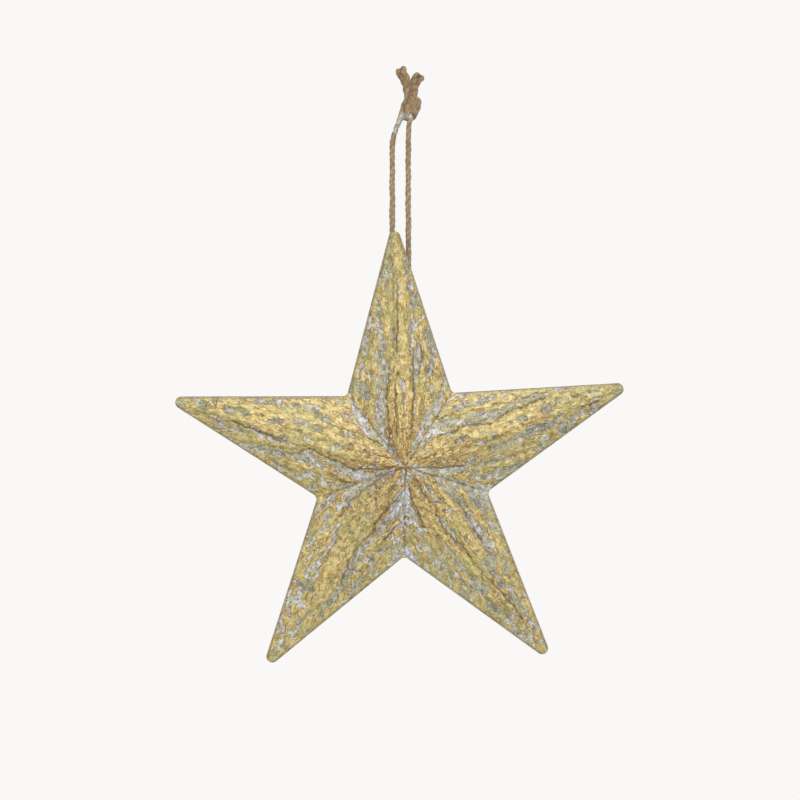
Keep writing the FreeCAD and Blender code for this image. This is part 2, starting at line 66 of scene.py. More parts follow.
def shade(card):
    """A colour card's red, green and blue, 0 to 255, as a linear colour."""
    return [(((value / 255) + 0.055) / 1.055) ** 2.4 for value in card] + [1.0]


def feed(value, socket):
    """Gives a shader's socket a value or another node's output."""
    if isinstance(value, bpy.types.NodeSocket):
        socket.id_data.links.new(value, socket)
    else:
        socket.default_value = value


def node(tree, kind, settings=None, **inputs):
    """A shader node. Its inputs are named with _ for a space."""
    made = tree.nodes.new("ShaderNode" + kind)
    for name, value in (settings or {}).items():
        setattr(made, name, value)
    for name, value in inputs.items():
        feed(value, made.inputs[name.replace("_", " ")])
    return made


def new_finish(name):
    """A material and the place on the piece that its patterns follow."""
    finish = bpy.data.materials.new(name)
    finish.use_nodes = True
    return finish, node(finish.node_tree, "TexCoord").outputs["Object"]


def finished(finish, colour, metallic, roughness, normal):
    """Feeds the finish's shader, and gives the finish back."""
    looks = {"Base Color": colour, "Metallic": metallic, "Roughness": roughness, "Normal": normal}
    for name, value in looks.items():
        feed(value, finish.node_tree.nodes["Principled BSDF"].inputs[name])
    return finish


def reckon(work, first, second=0.0, third=0.0):
    """One sum of up to three values, with a node's output among them."""
    tree = next(value.id_data for value in (first, second, third) if isinstance(value, bpy.types.NodeSocket))
    made = node(tree, "Math", {"operation": work})
    for value, socket in zip((first, second, third), made.inputs):
        feed(value, socket)
    return made.outputs[0]


def times(first, second):
    """Two values multiplied."""
    return reckon("MULTIPLY", first, second)


def added(total, value, share):
    """The total with a share of another value added to it."""
    return reckon("MULTIPLY_ADD", value, share, total)


def apart(value, level):
    """How far a value is from a level, above or below."""
    return reckon("ABSOLUTE", reckon("SUBTRACT", value, level))


def over(colour, *layers):
    """A colour with layers on it, each a share and the colour card or output that it shows."""
    for share, top in layers:
        made = node(colour.id_data, "Mix", {"data_type": "RGBA"})
        top = shade(top) if isinstance(top, tuple) else top
        for value, place in ((share, 0), (colour, 6), (top, 7)):
            feed(value, made.inputs[place])
        colour = made.outputs[2]
    return colour


def between(value, low, high, start=0.0, end=1.0):
    """The value spread smoothly from start to end as it goes from low to high."""
    smooth = {"interpolation_type": "SMOOTHSTEP"}
    return node(value.id_data, "MapRange", smooth, Value=value, From_Min=low, From_Max=high, To_Min=start,
                To_Max=end).outputs[0]


def graded(value, *stops):
    """Colours along a scale: each stop is a place from 0 to 1 and a colour card's numbers."""
    made = node(value.id_data, "ValToRGB", Fac=value)
    for stop in stops[2:]:
        made.color_ramp.elements.new(stop[0])
    for element, (place, card) in zip(made.color_ramp.elements, stops):
        element.position = place
        element.color = shade(card)
    return made.outputs[0]


def grain(place, size, detail=3.0, roughness=0.55, stretch=(1, 1, 1)):
    """Cloudy noise whose lumps are about size across, drawn out by stretch."""
    tree = place.id_data
    spread = node(tree, "Mapping", Vector=place, Scale=[1 / part for part in stretch]).outputs[0]
    noise = {"Scale": 1 / size, "Detail": detail, "Roughness": roughness}
    return node(tree, "TexNoise", Vector=spread, **noise).outputs["Fac"]


def bumped(height, depth, strength=1.0, under=None):
    """A surface whose height wanders by depth, in metres, over another such surface if one is named."""
    made = node(height.id_data, "Bump", Height=height, Distance=depth, Strength=strength)
    if under is not None:
        feed(under, made.inputs["Normal"])
    return made.outputs[0]


def dress(name, finish):
    """Puts a finish on a CAD piece."""
    piece = frame["nodes"][name]
    if not piece.material_slots:
        piece.data.materials.append(finish)
    for place in piece.material_slots:
        place.material = finish


def aged_tin(name, tarnish_lift, painted_to=None):
    """Dull tinplate, darker with more tarnish_lift. In front of painted_to the gilding ran over it."""
    finish, place = new_finish(name)
    tree = finish.node_tree
    clouds = grain(place, 16 * mm, 8, 0.68)
    wiped = grain(place, 1.6 * mm, 4, 0.65, (14, 1, 1.2))
    fine = grain(place, 0.9 * mm, 3)
    streaks = graded(wiped, (0.36, tin_tarnish), (0.5, tin_dull), (0.62, tin_bright))
    tarnish = grain(place, 6 * mm, 8, 0.72)
    water_ring = apart(grain(place, 18 * mm, 3, 0.5), 0.54)
    wave = {"Scale": 90, "Distortion": 9, "Detail": 3}
    scratch = node(tree, "TexWave", {"bands_direction": "DIAGONAL"}, Vector=place, **wave).outputs["Fac"]
    speck = between(grain(place, 1.6 * mm, 4, 0.7), 0.62, 0.68, 0, 0.8)
    metal = over(
        graded(clouds, (0.36, tin_tarnish), (0.47, tin_dull), (0.6, tin_bright)),
        (0.4, streaks),
        (between(tarnish, 0.58 - tarnish_lift, 0.64 - tarnish_lift, 0, 0.6), tin_tarnish),
        (between(water_ring, 0.002, 0.009, 0.55, 0), water_brown),
        (times(between(scratch, 0.975, 0.995, 0, 0.6), between(clouds, 0.44, 0.52)), tin_bright),
        (speck, rust_brown),
    )
    shine = between(speck, 0, 0.8, 0.8, 0.1)
    if painted_to is not None:
        depth = added(node(tree, "SeparateXYZ", Vector=place).outputs["Y"], fine, 0.3 * mm)
        paint = between(depth, painted_to, painted_to + 0.12 * mm, 1, 0)
        metal = over(metal, (paint, graded(fine, (0.38, rim_olive), (0.6, rim_gilt))))
        shine = times(shine, reckon("SUBTRACT", 1.1, paint))
    dented = bumped(clouds, 1.2 * mm, 0.35)
    scuffed = bumped(reckon("ADD", fine, wiped), 0.06 * mm, 0.7, dented)
    return finished(finish, metal, shine, between(wiped, 0.25, 0.75, 0.36, 0.58), scuffed)


plate_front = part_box("back_plate")[0].y
dress("back_plate", aged_tin("plate_tin", 0.0, plate_front + painted_depth))

# Eye patch: a rounded rectangle of the same tinplate, sweated onto the plate to stiffen it under the eye.
# It took more heat and more handling than the plate, so it is darker.
dress("eye_patch", aged_tin("patch_tin", 0.1))

# Hanging eye: a staple of 2 mm steel wire whose legs pass through the patch and the plate.
# The drawn wire has gone brown in patches and is still bright between them.
wire_bright, wire_brown = (150, 144, 134), (96, 72, 50)


def drawn_wire():
    """Steel wire with light rust."""
    finish, place = new_finish("drawn_wire")
    rust = grain(place, 1.8 * mm, 5, 0.65)
    colour = graded(rust, (0.42, wire_bright), (0.6, wire_brown))
    shine = between(rust, 0.42, 0.6, 0.9, 0.25)
    return finished(finish, colour, shine, between(rust, 0.4, 0.6, 0.32, 0.7), bumped(rust, 0.08 * mm, 0.8))


dress("hanging_eye", drawn_wire())

# Solder: soft grey solder holds the ends of the eye inside, the valleys from behind and the arms' rim.
# It is run in with an iron, so it lies in ripples, bright on top and frosted between, with browned flux.
# The run round the rim was painted over with the gilding.
solder_bright, solder_frost, solder_flux = (178, 178, 176), (138, 137, 134), (104, 92, 70)


def soft_solder(name, painted=False):
    """Rippled solder with browned flux. The gilding covers most of it where it was painted."""
    finish, place = new_finish(name)
    ripple = grain(place, 1.4 * mm, 3, 0.5)
    flux = between(grain(place, 3.5 * mm, 5, 0.7), 0.56, 0.68, 0, 0.75)
    metal = over(graded(ripple, (0.3, solder_frost), (0.7, solder_bright)), (flux, solder_flux))
    shine = between(flux, 0, 0.75, 0.85, 0.2)
    if painted:
        paint = between(ripple, 0.4, 0.62, 0.95, 0.6)
        metal = over(metal, (paint, graded(ripple, (0.4, rim_olive), (0.62, rim_gilt))))
        shine = times(shine, reckon("SUBTRACT", 1.0, paint))
    roughness = between(ripple, 0.3, 0.7, 0.5, 0.3)
    return finished(finish, metal, shine, roughness, bumped(ripple, 0.25 * mm, 0.8))


solder = soft_solder("soft_solder")
dress("eye_solder", solder)
dress("rim_solder", soft_solder("painted_solder", True))

# Front arms: five kites of 0.5 mm tin, embossed from behind, gilded, and rubbed back to the zinc in the
# hollows. Their skirts turn back to the plate, and they butt along the valleys. The marks follow the
# photograph and are placed by its pixels: a mark is a line of places, each with its own half width.
photo_side = 800
photo_middle = photo_side / 2
pixel = 0.5593 * mm
lens, sensor = 100, 36
view_distance = photo_side * pixel * lens / sensor
nail_column, nail_row = 402.5, 127.0
heart_column, heart_row, heart_reach = 403.0, 458.0, 100.0
hang_tilt = math.radians(1.75)
eye_reach, eye_offset = 98 * mm, 2.3 * mm
swing = next(joint for joint in frame["joints"] if joint["name"] == "star_swing")
star_across = swing["pos_m"][0] - eye_offset * math.cos(hang_tilt) + eye_reach * math.sin(hang_tilt)
star_up = swing["pos_m"][2] - eye_offset * math.sin(hang_tilt) - eye_reach * math.cos(hang_tilt)
arm_count = 5
arm_names = ("top", "upper_right", "lower_right", "lower_left", "upper_left")
point_reach, inner_reach, tip_round, rim_flange = 140.4 * mm, 50 * mm, 3.4 * mm, 0.8 * mm
crown_height, rim_height, sheet = 24 * mm, 5 * mm, 0.5 * mm
crown_shift = (2.0 * mm, 0.5 * mm)
inner_lip, seam_depth, edge_round, ridge_round = 2.8 * mm, 0.3 * mm, 0.9 * mm, 0.1
half_angle = math.pi / arm_count
notch_across, notch_up = inner_reach * math.sin(half_angle), inner_reach * math.cos(half_angle)
edge_lean = math.atan2(notch_across, point_reach - notch_up)
web_round = 6.5 * mm
web_run = web_round / math.tan(half_angle + edge_lean)
web_depth = web_round / math.sin(half_angle + edge_lean) - web_round
inner_rows, web_rows, outer_rows, arc_rows, columns = 110, 10, 190, 10, 120
rows = inner_rows + outer_rows + arc_rows
coarse, skirt_rows = 5, 6
leaf_dark, leaf_deep, leaf_mid, leaf_light = (142, 118, 62), (180, 154, 92), (203, 180, 118), (232, 215, 156)
leaf_orange, leaf_olive, leaf_brown = (178, 132, 70), (158, 154, 96), (122, 84, 42)
outline_gold, dark_line_and_edge_shade = (114, 92, 46), (78, 60, 36)
zinc_olive, zinc_grey, zinc_lilac = (120, 118, 97), (152, 140, 120), (177, 168, 170)
zinc_white, zinc_dark = (204, 207, 207), (104, 100, 82)

# Hollows show the zinc: a tone, 0 for olive, 0.4 for grey, 0.8 for lilac and 1.2 for white, then the line.
hollows = (
    # top arm, left half
    (0.5, (390, 256, 2), (387, 271, 3), (385, 285, 2)),
    (0.4, (378, 298, 1.5), (379, 306, 2.5), (381, 312, 1)),
    (0.6, (377, 313, 1.3), (379, 323, 2), (382, 334, 1.2)), (0.4, (392, 330, 1.5), (393, 341, 2)),
    (0.4, (367, 336, 2), (366, 344, 2), (366, 353, 3)),
    (0.9, (380, 338, 2), (381, 344, 3), (382, 351, 2.5)),
    (0.6, (380, 353, 3), (382, 362, 5.5), (385, 370, 4), (383, 379, 4.8), (380, 387, 4.8)),
    (0.8, (361, 365, 1.2), (363, 370, 2), (367, 376, 2), (373, 380, 1.2)),
    (0.0, (357, 384, 4), (362, 390, 7), (367, 397, 4)),
    (0.5, (380, 387, 4.6), (379, 408, 4.2), (379, 424, 4.2), (383, 436, 4.6), (389, 447, 3.6),
     (397, 460, 1.8)),
    (0.8, (350, 402, 1.5), (357, 412, 3.5), (366, 427, 2.6), (376, 438, 3), (386, 449, 2), (396, 461, 1)),
    # top arm, right half
    (0.3, (405, 256, 2), (406, 265, 3), (407, 274, 2)), (0.6, (409.5, 285, 3.2), (410, 287, 3.2)),
    (0.2, (412, 292, 2), (415, 300, 3), (414, 308, 1.5)),
    (0.6, (412, 322, 2.5), (411.5, 332, 2.8), (411, 343, 1.6)),
    (0.8, (419.5, 344, 2), (418, 351, 3.4), (416.5, 362, 3.2), (415, 375, 2), (414, 382, 1.2)),
    (0.2, (427, 327, 2), (429, 337, 3), (431, 346, 3)),
    (0.2, (433, 345, 1.5), (432, 353, 3), (430, 362, 1.6)),
    (0.3, (428, 367, 2), (427.5, 374, 2.8), (426, 380, 1.5)), (0.4, (431, 385, 2), (430, 391, 1.5)),
    (0.6, (442, 386, 1), (440, 396, 2), (438, 404, 3), (431, 413, 4), (425, 424, 4), (417, 438, 2.6),
     (408, 457, 1.2)),
    (0.5, (403.8, 381, 1.4), (403.4, 389, 1.6)), (0.5, (402.8, 393, 1.4), (403.4, 401, 1.6)),
    (0.5, (414, 386, 0.8), (414.5, 398, 1), (415, 412, 0.8)),
    # upper right arm
    (0.6, (443, 419, 2), (435, 428, 4), (427, 439, 3), (417, 450, 1.6)),
    (1.0, (420, 444, 1.2), (423, 452, 1.4)), (0.4, (455, 408, 1.5), (466, 405, 3), (473, 402, 1.6)),
    (0.4, (479, 404, 2), (486, 400.5, 3), (494, 397, 1.8)),
    (0.7, (436, 429, 1.5), (441, 426, 2.8), (451, 424, 3), (462, 421, 2.4)),
    (0.0, (464, 421, 2), (472, 419, 4), (483, 417, 4.6), (495, 414, 4.8), (504, 411, 3.6)),
    (0.4, (505, 409, 2.5), (514, 406, 2.6)), (0.4, (524, 401, 2), (532, 398, 3), (543, 394.5, 1.4)),
    (0.3, (458, 440, 2), (464, 438, 2.4)), (0.2, (520, 418, 2.6), (525, 417, 2.6)),
    (0.2, (543, 410, 3), (548, 408, 3)), (0.2, (555, 400, 2), (560, 399, 2)),
    (0.2, (574, 397, 1.8), (579, 396, 1.8)), (0.3, (589, 391, 2), (597, 390, 2)),
    (0.4, (492, 448, 2), (505, 444.5, 3.4), (521, 439, 2.6)),
    (0.3, (519, 435, 2), (533, 430, 4), (547, 426, 4), (556, 423, 1.4)),
    (0.3, (573, 417, 2), (581, 413, 3.4), (589, 409, 2)), (0.2, (591, 408, 2), (598, 405, 2.6)),
    (0.2, (556, 421, 2), (562, 418, 2)), (0.1, (535, 450, 2.6), (545, 444.5, 3.6), (552, 441, 1.6)),
    (0.2, (477, 466, 2), (490, 462, 2.6), (505, 458, 1.6)),
    (0.1, (500, 474, 3), (512, 469, 3.4), (523, 463, 2)),
    (0.5, (480, 479, 2.6), (493, 475, 2.6), (502, 471, 1.6)), (0.2, (561, 432, 2.4), (570, 426, 2.2)),
    (0.9, (414, 468, 1.2), (428, 469.5, 2.6), (443, 470.5, 3.4), (459, 468.5, 2.4), (466, 467, 1)),
    (0.6, (446, 478, 1.4), (460, 482, 2.2), (474, 487, 2.4), (485, 489, 2.6)),
    (0.9, (478, 485, 2), (484, 491, 4.5), (487, 499, 2.5)),
    # lower right arm
    (0.5, (409, 474, 1.6), (412, 479, 2)), (0.7, (418, 475, 2), (424, 478, 2.2)),
    (0.6, (436, 476, 2), (443, 482, 3.2)),
    (0.3, (444, 486, 3.4), (451, 491, 5), (458, 499, 4.6), (464, 506, 3.4)),
    (0.4, (467, 513, 2), (472, 522, 4.6), (480, 532, 5), (487, 541, 3.6)),
    (0.1, (480, 540, 2), (486, 547, 2.8), (494, 557, 3.6)), (0.4, (464, 485, 2), (470, 489, 3)),
    (0.2, (467, 487, 2), (476, 497, 6.4), (484, 508, 5), (486, 515, 1.6)),
    (0.3, (486, 520, 2), (490, 524, 3.4), (496, 529, 2)), (0.2, (505, 562, 2), (507, 569, 2.6)),
    (0.4, (484, 561, 2.4), (489, 567, 4.6), (495, 575, 2.6)), (0.3, (499, 581, 2.4), (502, 586, 2.6)),
    (0.6, (509, 594, 2), (515, 600, 3.4)), (0.3, (520, 606, 2.4), (525, 614, 3)),
    (0.4, (529, 619, 2.4), (535, 627, 2.8)), (0.1, (447, 546, 1.8), (453, 552, 2.6)),
    (0.2, (455, 558, 2), (462, 567, 3.6), (469, 573, 2)),
    (0.6, (470, 573, 1.6), (476, 583, 5), (484, 590, 4.4)),
    (0.7, (440, 552, 1.2), (443, 562, 2), (449, 574, 1.8), (454, 583, 2)),
    (0.8, (424, 541, 1), (429, 549, 1.4), (433, 560, 1.4), (439, 572, 1.8)),
    (0.3, (463, 592, 1.6), (468, 597, 2.2)), (0.2, (488, 603, 3), (497, 609, 4), (501, 614, 2)),
    (0.8, (507, 618, 3.2), (509, 622, 3)), (0.6, (513, 628, 2), (520, 633, 3), (528, 640, 2)),
    (0.4, (429, 486, 1.2), (433, 492, 1.6)), (0.5, (439.5, 500, 1.8), (441.5, 502, 1.8)),
    (0.4, (444, 510, 1.2), (450, 512, 1.2)),
    (1.2, (406.5, 480, 1.6), (407.5, 496, 3.2), (409, 510, 4.2), (415, 522, 2.4), (423, 532, 0.8)),
    (0.6, (419, 534, 1.4), (424, 546, 1.2)), (0.9, (404, 552, 4), (412, 558, 4), (419, 563, 1.6)),
    # lower left arm
    (0.9, (403, 486, 1), (399, 499, 4), (397, 508, 4)),
    (0.7, (397, 514, 3.4), (388, 520, 3), (379, 531, 2.4), (374, 538, 1.4)),
    (0.8, (402, 524, 1.2), (392, 532, 1.2), (384, 540, 1.2)),
    (0.0, (375, 553, 1.6), (384, 549, 2.4), (392, 548, 2)),
    (0.5, (401, 541, 1), (396, 550, 1.6), (392, 556, 1)),
    (0.9, (403, 551, 4), (396, 558, 3), (391, 562, 1)),
    (0.5, (371, 543, 2), (363, 548, 3.6), (357, 559, 4.4), (352, 571, 2)),
    (0.4, (348, 568, 1.8), (345, 577, 2.8), (341, 585, 1.6)),
    (0.4, (373, 554, 1.4), (371, 563, 3.2), (374, 574, 1.8)), (0.2, (360, 577, 1.6), (357, 583, 2.2)),
    (0.4, (354, 586, 1.4), (352, 592, 2)), (0.0, (339, 590, 2), (334, 597, 3.6), (330, 603, 2.4)),
    (0.3, (323, 606, 1.2), (321, 617, 1.8)),
    (0.9, (324, 560, 1.2), (316, 565, 1.8), (307, 570, 2.4), (306, 576, 2.2), (313, 579, 1.8),
     (317, 572, 1.4)),
    (0.8, (332, 525, 1), (325, 529, 1.4), (319, 533, 1)), (0.3, (329, 514, 2), (323, 519, 2.6)),
    (0.4, (336, 493, 1.6), (332, 500, 2.2)), (0.4, (326, 502, 1.6), (322, 508, 2)),
    (0.5, (314, 534, 1.2), (312, 541, 1.6)),
    (0.7, (338, 529, 1), (333, 539, 1.4), (329, 549, 1.2), (320, 557, 1)),
    (0.0, (309, 582, 2.2), (311, 590, 3)), (0.0, (298, 583, 2.6), (302, 588, 3.6)),
    (1.2, (288, 602, 2), (296, 601, 2.8), (303, 600, 1.4)),
    (1.2, (297, 591, 1.2), (298, 600, 2), (302, 608, 1.4)), (0.6, (288, 608, 2.4), (287, 613, 3)),
    (0.4, (311, 608, 1.6), (309, 614, 2)), (0.7, (303, 620, 1.6), (300, 626, 2)),
    (0.6, (300, 629, 2), (295, 633, 2.8), (291, 639, 1.6)),
    (0.8, (281, 620, 1.4), (278, 628, 2), (276, 634, 1)),
    (0.8, (391, 471, 1.2), (378, 478, 2), (363, 487, 2.6), (348, 499, 3), (339, 510, 1.8)),
    # upper left arm
    (0.3, (257, 400, 2), (262, 401.5, 2.8), (266, 403, 1.6)), (0.3, (272, 401, 2.4), (279, 402.5, 2.8)),
    (0.3, (293, 404, 2.2), (299, 406, 2)), (0.3, (315, 411, 1.6), (320, 415, 2.2), (328, 422, 1.6)),
    (0.3, (200, 403, 1.6), (204, 405, 2)), (0.1, (227, 409, 4), (231, 410.5, 4)),
    (0.0, (239, 409, 3), (247, 412, 4)), (0.2, (270, 421, 2), (282, 421, 2.6)),
    (0.4, (295, 420, 2.4), (303, 422.5, 3.2), (310, 424, 1.6)), (0.1, (314, 428, 2.4), (320, 430, 2.6)),
    (0.2, (341, 433, 1.6), (346, 437, 2)), (0.6, (271, 437, 1.6), (281, 438, 2.6), (287, 441.5, 2)),
    (0.4, (214, 423, 1.8), (220, 426, 2.2)), (0.6, (224, 427, 1.4), (233, 430, 2.2), (247, 432, 2.4)),
    (0.5, (254, 430, 1.4), (260, 433, 1.8)), (0.8, (241, 445, 1), (247, 442, 1.6)),
    (0.4, (248, 447, 2), (260, 448.5, 3), (271, 453, 2)),
    (0.3, (273, 450, 2), (280, 452, 2.6), (288, 455, 3)),
    (0.6, (291, 457, 2.8), (303, 458, 4.6), (313, 456, 3.6)), (0.5, (316, 463, 2.6), (321, 467, 3.4)),
    (0.2, (274, 464, 1.6), (280, 466, 2)), (0.2, (283, 468, 1.6), (289, 471, 2)),
    (0.5, (296, 476, 1.6), (304, 475, 2.8), (311, 471, 1.4)),
    (0.9, (332, 468, 1.4), (340, 471, 2), (347, 472, 2.4), (357, 477, 3.2), (371, 477.5, 3.4),
     (384, 474, 3.2), (395, 470, 2)),
    (0.8, (320, 474, 1.4), (322, 478, 2.2)),
    (0.7, (328, 482, 1.4), (338, 487, 2), (352, 486.5, 2.4), (366, 483, 1.8)),
    (0.3, (311, 484, 2), (316, 488, 2.6)),
)

# Crests stand proud of the kites: a height in millimetres, then the line.
crests = (
    (1.2, (398, 240, 7), (402, 300, 8), (403, 353, 11), (403, 410, 11), (404, 452, 6)),
    (0.7, (398, 262, 1.5), (396, 290, 2), (395, 340, 2), (397, 400, 2), (401, 440, 1.5)),
    (0.7, (408, 290, 2), (408, 350, 2.4), (409, 410, 2.4), (406, 445, 1.4)),
    (0.6, (382, 286, 2.2), (386, 329, 3), (390, 359, 3), (391, 410, 3), (397, 448, 2)),
    (0.8, (371, 350, 2.6), (373, 381, 2.6), (372, 401, 2.4), (370, 421, 1.6)),
    (0.8, (421, 336, 2.6), (425, 353, 2.8), (424, 372, 2.6), (423, 390, 2.4), (419, 416, 3),
     (416, 434, 1.4)),
    (0.7, (437, 358, 2.4), (438, 390, 2.4)), (0.9, (412, 384, 2), (412, 420, 2.4), (409, 446, 2)),
    (0.9, (440, 416, 2), (464, 411, 2.6), (486, 406, 2.8), (498, 401, 2.6), (522, 395, 2.4), (550, 390, 2)),
    (1.4, (412, 456, 3), (430, 448, 6.5), (461, 438, 9), (492, 430, 8.5), (522, 416, 7.5), (553, 402, 7.5),
     (584, 395, 6), (618, 386, 4)),
    (0.4, (415, 461, 3.4), (446, 456, 5), (474, 452, 5), (500, 445, 3), (526, 424, 3.4), (568, 409, 3),
     (600, 400, 2.4)),
    (0.6, (484, 470, 2), (505, 464, 2.4), (530, 455, 2.4), (560, 440, 2)),
    (1.3, (394, 457, 2.4), (351, 443, 6), (321, 432, 7), (292, 421, 7), (262, 412, 6), (232, 404, 4)),
    (0.8, (382, 447, 2), (359, 435, 2.6), (328, 424, 3), (305, 414.5, 3), (276, 408.5, 2.6), (252, 405, 2)),
    (1.0, (394, 465, 1.8), (374, 462, 3), (344, 455, 4), (313, 446, 3.4), (290, 439, 3), (260, 426, 3),
     (229, 416, 2.6), (198, 409, 2)),
    (0.8, (262, 455, 2), (276, 460, 2.6), (290, 466, 3), (310, 470, 2.6)),
    (0.8, (317, 470, 2), (338, 477, 2.6), (352, 483, 2)),
    (0.7, (232, 437, 2), (262, 441, 2.4), (292, 447, 2)),
    (1.4, (398, 475, 3), (378, 496, 8), (362, 516, 9), (347, 538, 9), (335, 560, 8.5), (326, 584, 8),
     (316, 608, 7), (301, 632, 5)),
    (0.8, (401, 485, 1.8), (384, 504, 3), (372, 525, 3), (357, 544, 3), (346, 562, 2.6), (338, 582, 2.4)),
    (0.9, (401, 522, 2), (384, 538, 2.8), (375, 550, 2.8), (368, 563, 2.6), (358, 570, 2)),
    (0.8, (326, 535, 3.4), (316, 544, 3.4)), (0.7, (322, 548, 2), (306, 590, 2), (296, 612, 2)),
    (1.2, (409, 484, 3), (424, 512, 8), (446, 546, 6.5), (468, 566, 5), (484, 588, 4), (504, 612, 3)),
    (1.1, (418, 478, 2), (432, 486, 3), (443, 505, 5), (456, 524, 6), (472, 549, 6), (489, 578, 4.4),
     (506, 600, 3.4), (522, 622, 3)),
    (1.0, (432, 481, 2), (441, 495, 2.8), (456, 510, 3), (466, 526, 3), (475, 544, 3)),
    (1.0, (461, 486, 2.2), (469, 504, 2.8), (478, 516, 3), (487, 530, 3.2), (496, 541, 3), (501, 553, 2.4)),
)

# Creases are the dark lines where the sheet was driven down beside a crest.
creases = (
    ((396.5, 278), (397, 353)), ((397, 372), (395, 392), (394, 414), (396, 438)),
    ((388, 374), (386, 393), (388, 424), (391, 446), (396, 460)),
    ((411.5, 347), (412, 378), (413, 408), (409, 440)), ((421, 344), (420, 358), (417, 374)),
    ((437, 437), (450, 432), (466, 424), (490, 424), (507, 412), (533, 402), (544, 397)),
    ((492, 438), (502, 434)), ((581, 407), (599, 401)), ((408, 468), (438, 467.5), (466, 466)),
    ((415, 463), (424, 458), (436, 453)), ((216, 399), (216, 408)), ((382, 446), (358, 434), (328, 424)),
    ((232, 421), (255, 430), (282, 438)),
    ((296, 453), (305, 450), (314, 450), (322, 455), (332, 461), (341, 464), (353, 470), (366, 468),
     (380, 469), (395, 466)),
    ((399, 469), (378, 478), (365, 488), (352, 500), (344, 508), (338, 517)),
    ((402, 490), (391, 504), (381, 516), (372, 533), (359, 544), (352, 553), (347, 567), (340, 582)),
    ((408, 490), (417, 512), (424, 529)),
    ((414, 478), (426, 497), (436, 509), (441, 526), (453, 540), (466, 550), (478, 567), (493, 585),
     (512, 604), (522, 622)),
    ((329, 474), (338, 478), (350, 484)), ((384, 539), (396, 528)), ((456, 498), (468, 520), (482, 541)),
)

# Pocks are small rings struck into the gilding, each a place and a half width.
pocks = (
    (455, 441, 2.4), (461, 438, 2.4), (467, 436, 2.2), (511, 422, 2), (556, 399, 2.2), (576, 396, 2),
    (589, 391, 2), (527, 418, 2), (543, 410, 2.2), (549, 408, 2.2), (430.5, 488, 2.6), (440.5, 501, 2.8),
    (446, 511, 2.6), (447, 523, 2.2), (453, 530, 2), (438, 537, 2), (403, 405, 2), (404, 417, 2),
    (403, 430, 1.8), (434, 461, 2), (440, 459, 2), (392, 488, 2), (386, 495, 2), (352, 511, 2.2),
    (375, 500, 1.8), (351, 533, 2.2), (300, 431, 2.2), (337, 445, 2.2), (262, 414, 2), (281, 421, 2.2),
    (343, 435, 2), (351, 446, 2), (364, 452, 2), (467, 536, 2.2), (463, 545, 2), (478, 552, 2.4),
)


def seen_at(x, y, z):
    """The photograph's column and row where a place in the row frame is seen."""
    nearer = view_distance / (view_distance + y - plate_front)
    eye_across = (photo_middle - nail_column) * pixel
    eye_up = (nail_row - photo_middle) * pixel
    return photo_middle + (x - eye_across) * nearer / pixel, photo_middle - (z - eye_up) * nearer / pixel


def wander(x, z, cell, seed, layers=3):
    """Smooth noise on a lattice of that cell, mostly from -1 to 1, with finer and lower layers."""
    dice, side = np.random.RandomState(seed), 128
    total, share = np.zeros_like(x), 0.0
    for layer in range(layers):
        lattice = dice.rand(side, side) * 2 - 1
        u, v = x / cell + 1000.3, z / cell + 1000.7
        i, j = np.floor(u).astype(int), np.floor(v).astype(int)
        a, b = u - i, v - j
        a, b = a * a * (3 - 2 * a), b * b * (3 - 2 * b)
        corner = [lattice[(i + p) % side, (j + q) % side] for p in (0, 1) for q in (0, 1)]
        left, right = corner[0] * (1 - b) + corner[1] * b, corner[2] * (1 - b) + corner[3] * b
        total += (left * (1 - a) + right * a) / 2 ** layer
        share += 1 / 2 ** layer
        cell /= 2
    return total / share * 1.6


def cells(x, z, cell, seed):
    """For centres scattered a cell apart: how far the nearest is, and how much further the next, in cells."""
    side = 64
    off = np.random.RandomState(seed).rand(side, side, 2)
    u, v = x / cell + 1000, z / cell + 1000
    i, j = np.floor(u).astype(int), np.floor(v).astype(int)
    first, second = np.full_like(x, 9.0), np.full_like(x, 9.0)
    for p in (-1, 0, 1):
        for q in (-1, 0, 1):
            centre = off[(i + p) % side, (j + q) % side]
            gap = np.hypot(i + p + centre[..., 0] - u, j + q + centre[..., 1] - v)
            second = np.minimum(second, np.maximum(first, gap))
            first = np.minimum(first, gap)
    return first, second - first


def from_line(column, row, line):
    """How far each place is from a line of places, in pixels, and the line's half width there."""
    line = np.array([place if len(place) == 3 else (*place, 0.0) for place in line], float)
    nearest, width = np.full_like(column, 99.0), np.ones_like(column)
    for start, end in zip(line[:-1], line[1:]):
        run = end[:2] - start[:2]
        along = np.clip(((column - start[0]) * run[0] + (row - start[1]) * run[1]) / (run @ run), 0, 1)
        gap = np.hypot(column - start[0] - along * run[0], row - start[1] - along * run[1])
        closer = gap < nearest
        nearest = np.where(closer, gap, nearest)
        width = np.where(closer, start[2] + along * (end[2] - start[2]), width)
    return nearest, width


def near(column, row, line, margin):
    """Which places lie within a margin of a line's own box."""
    line = np.array([place[:2] for place in line], float)
    low, high = line.min(0) - margin, line.max(0) + margin
    return (column > low[0]) & (column < high[0]) & (row > low[1]) & (row < high[1])


def soften(value, low, high):
    """0 below low, 1 above high, and a smooth rise between them."""
    share = np.clip((value - low) / (high - low), 0, 1)
    return share * share * (3 - 2 * share)


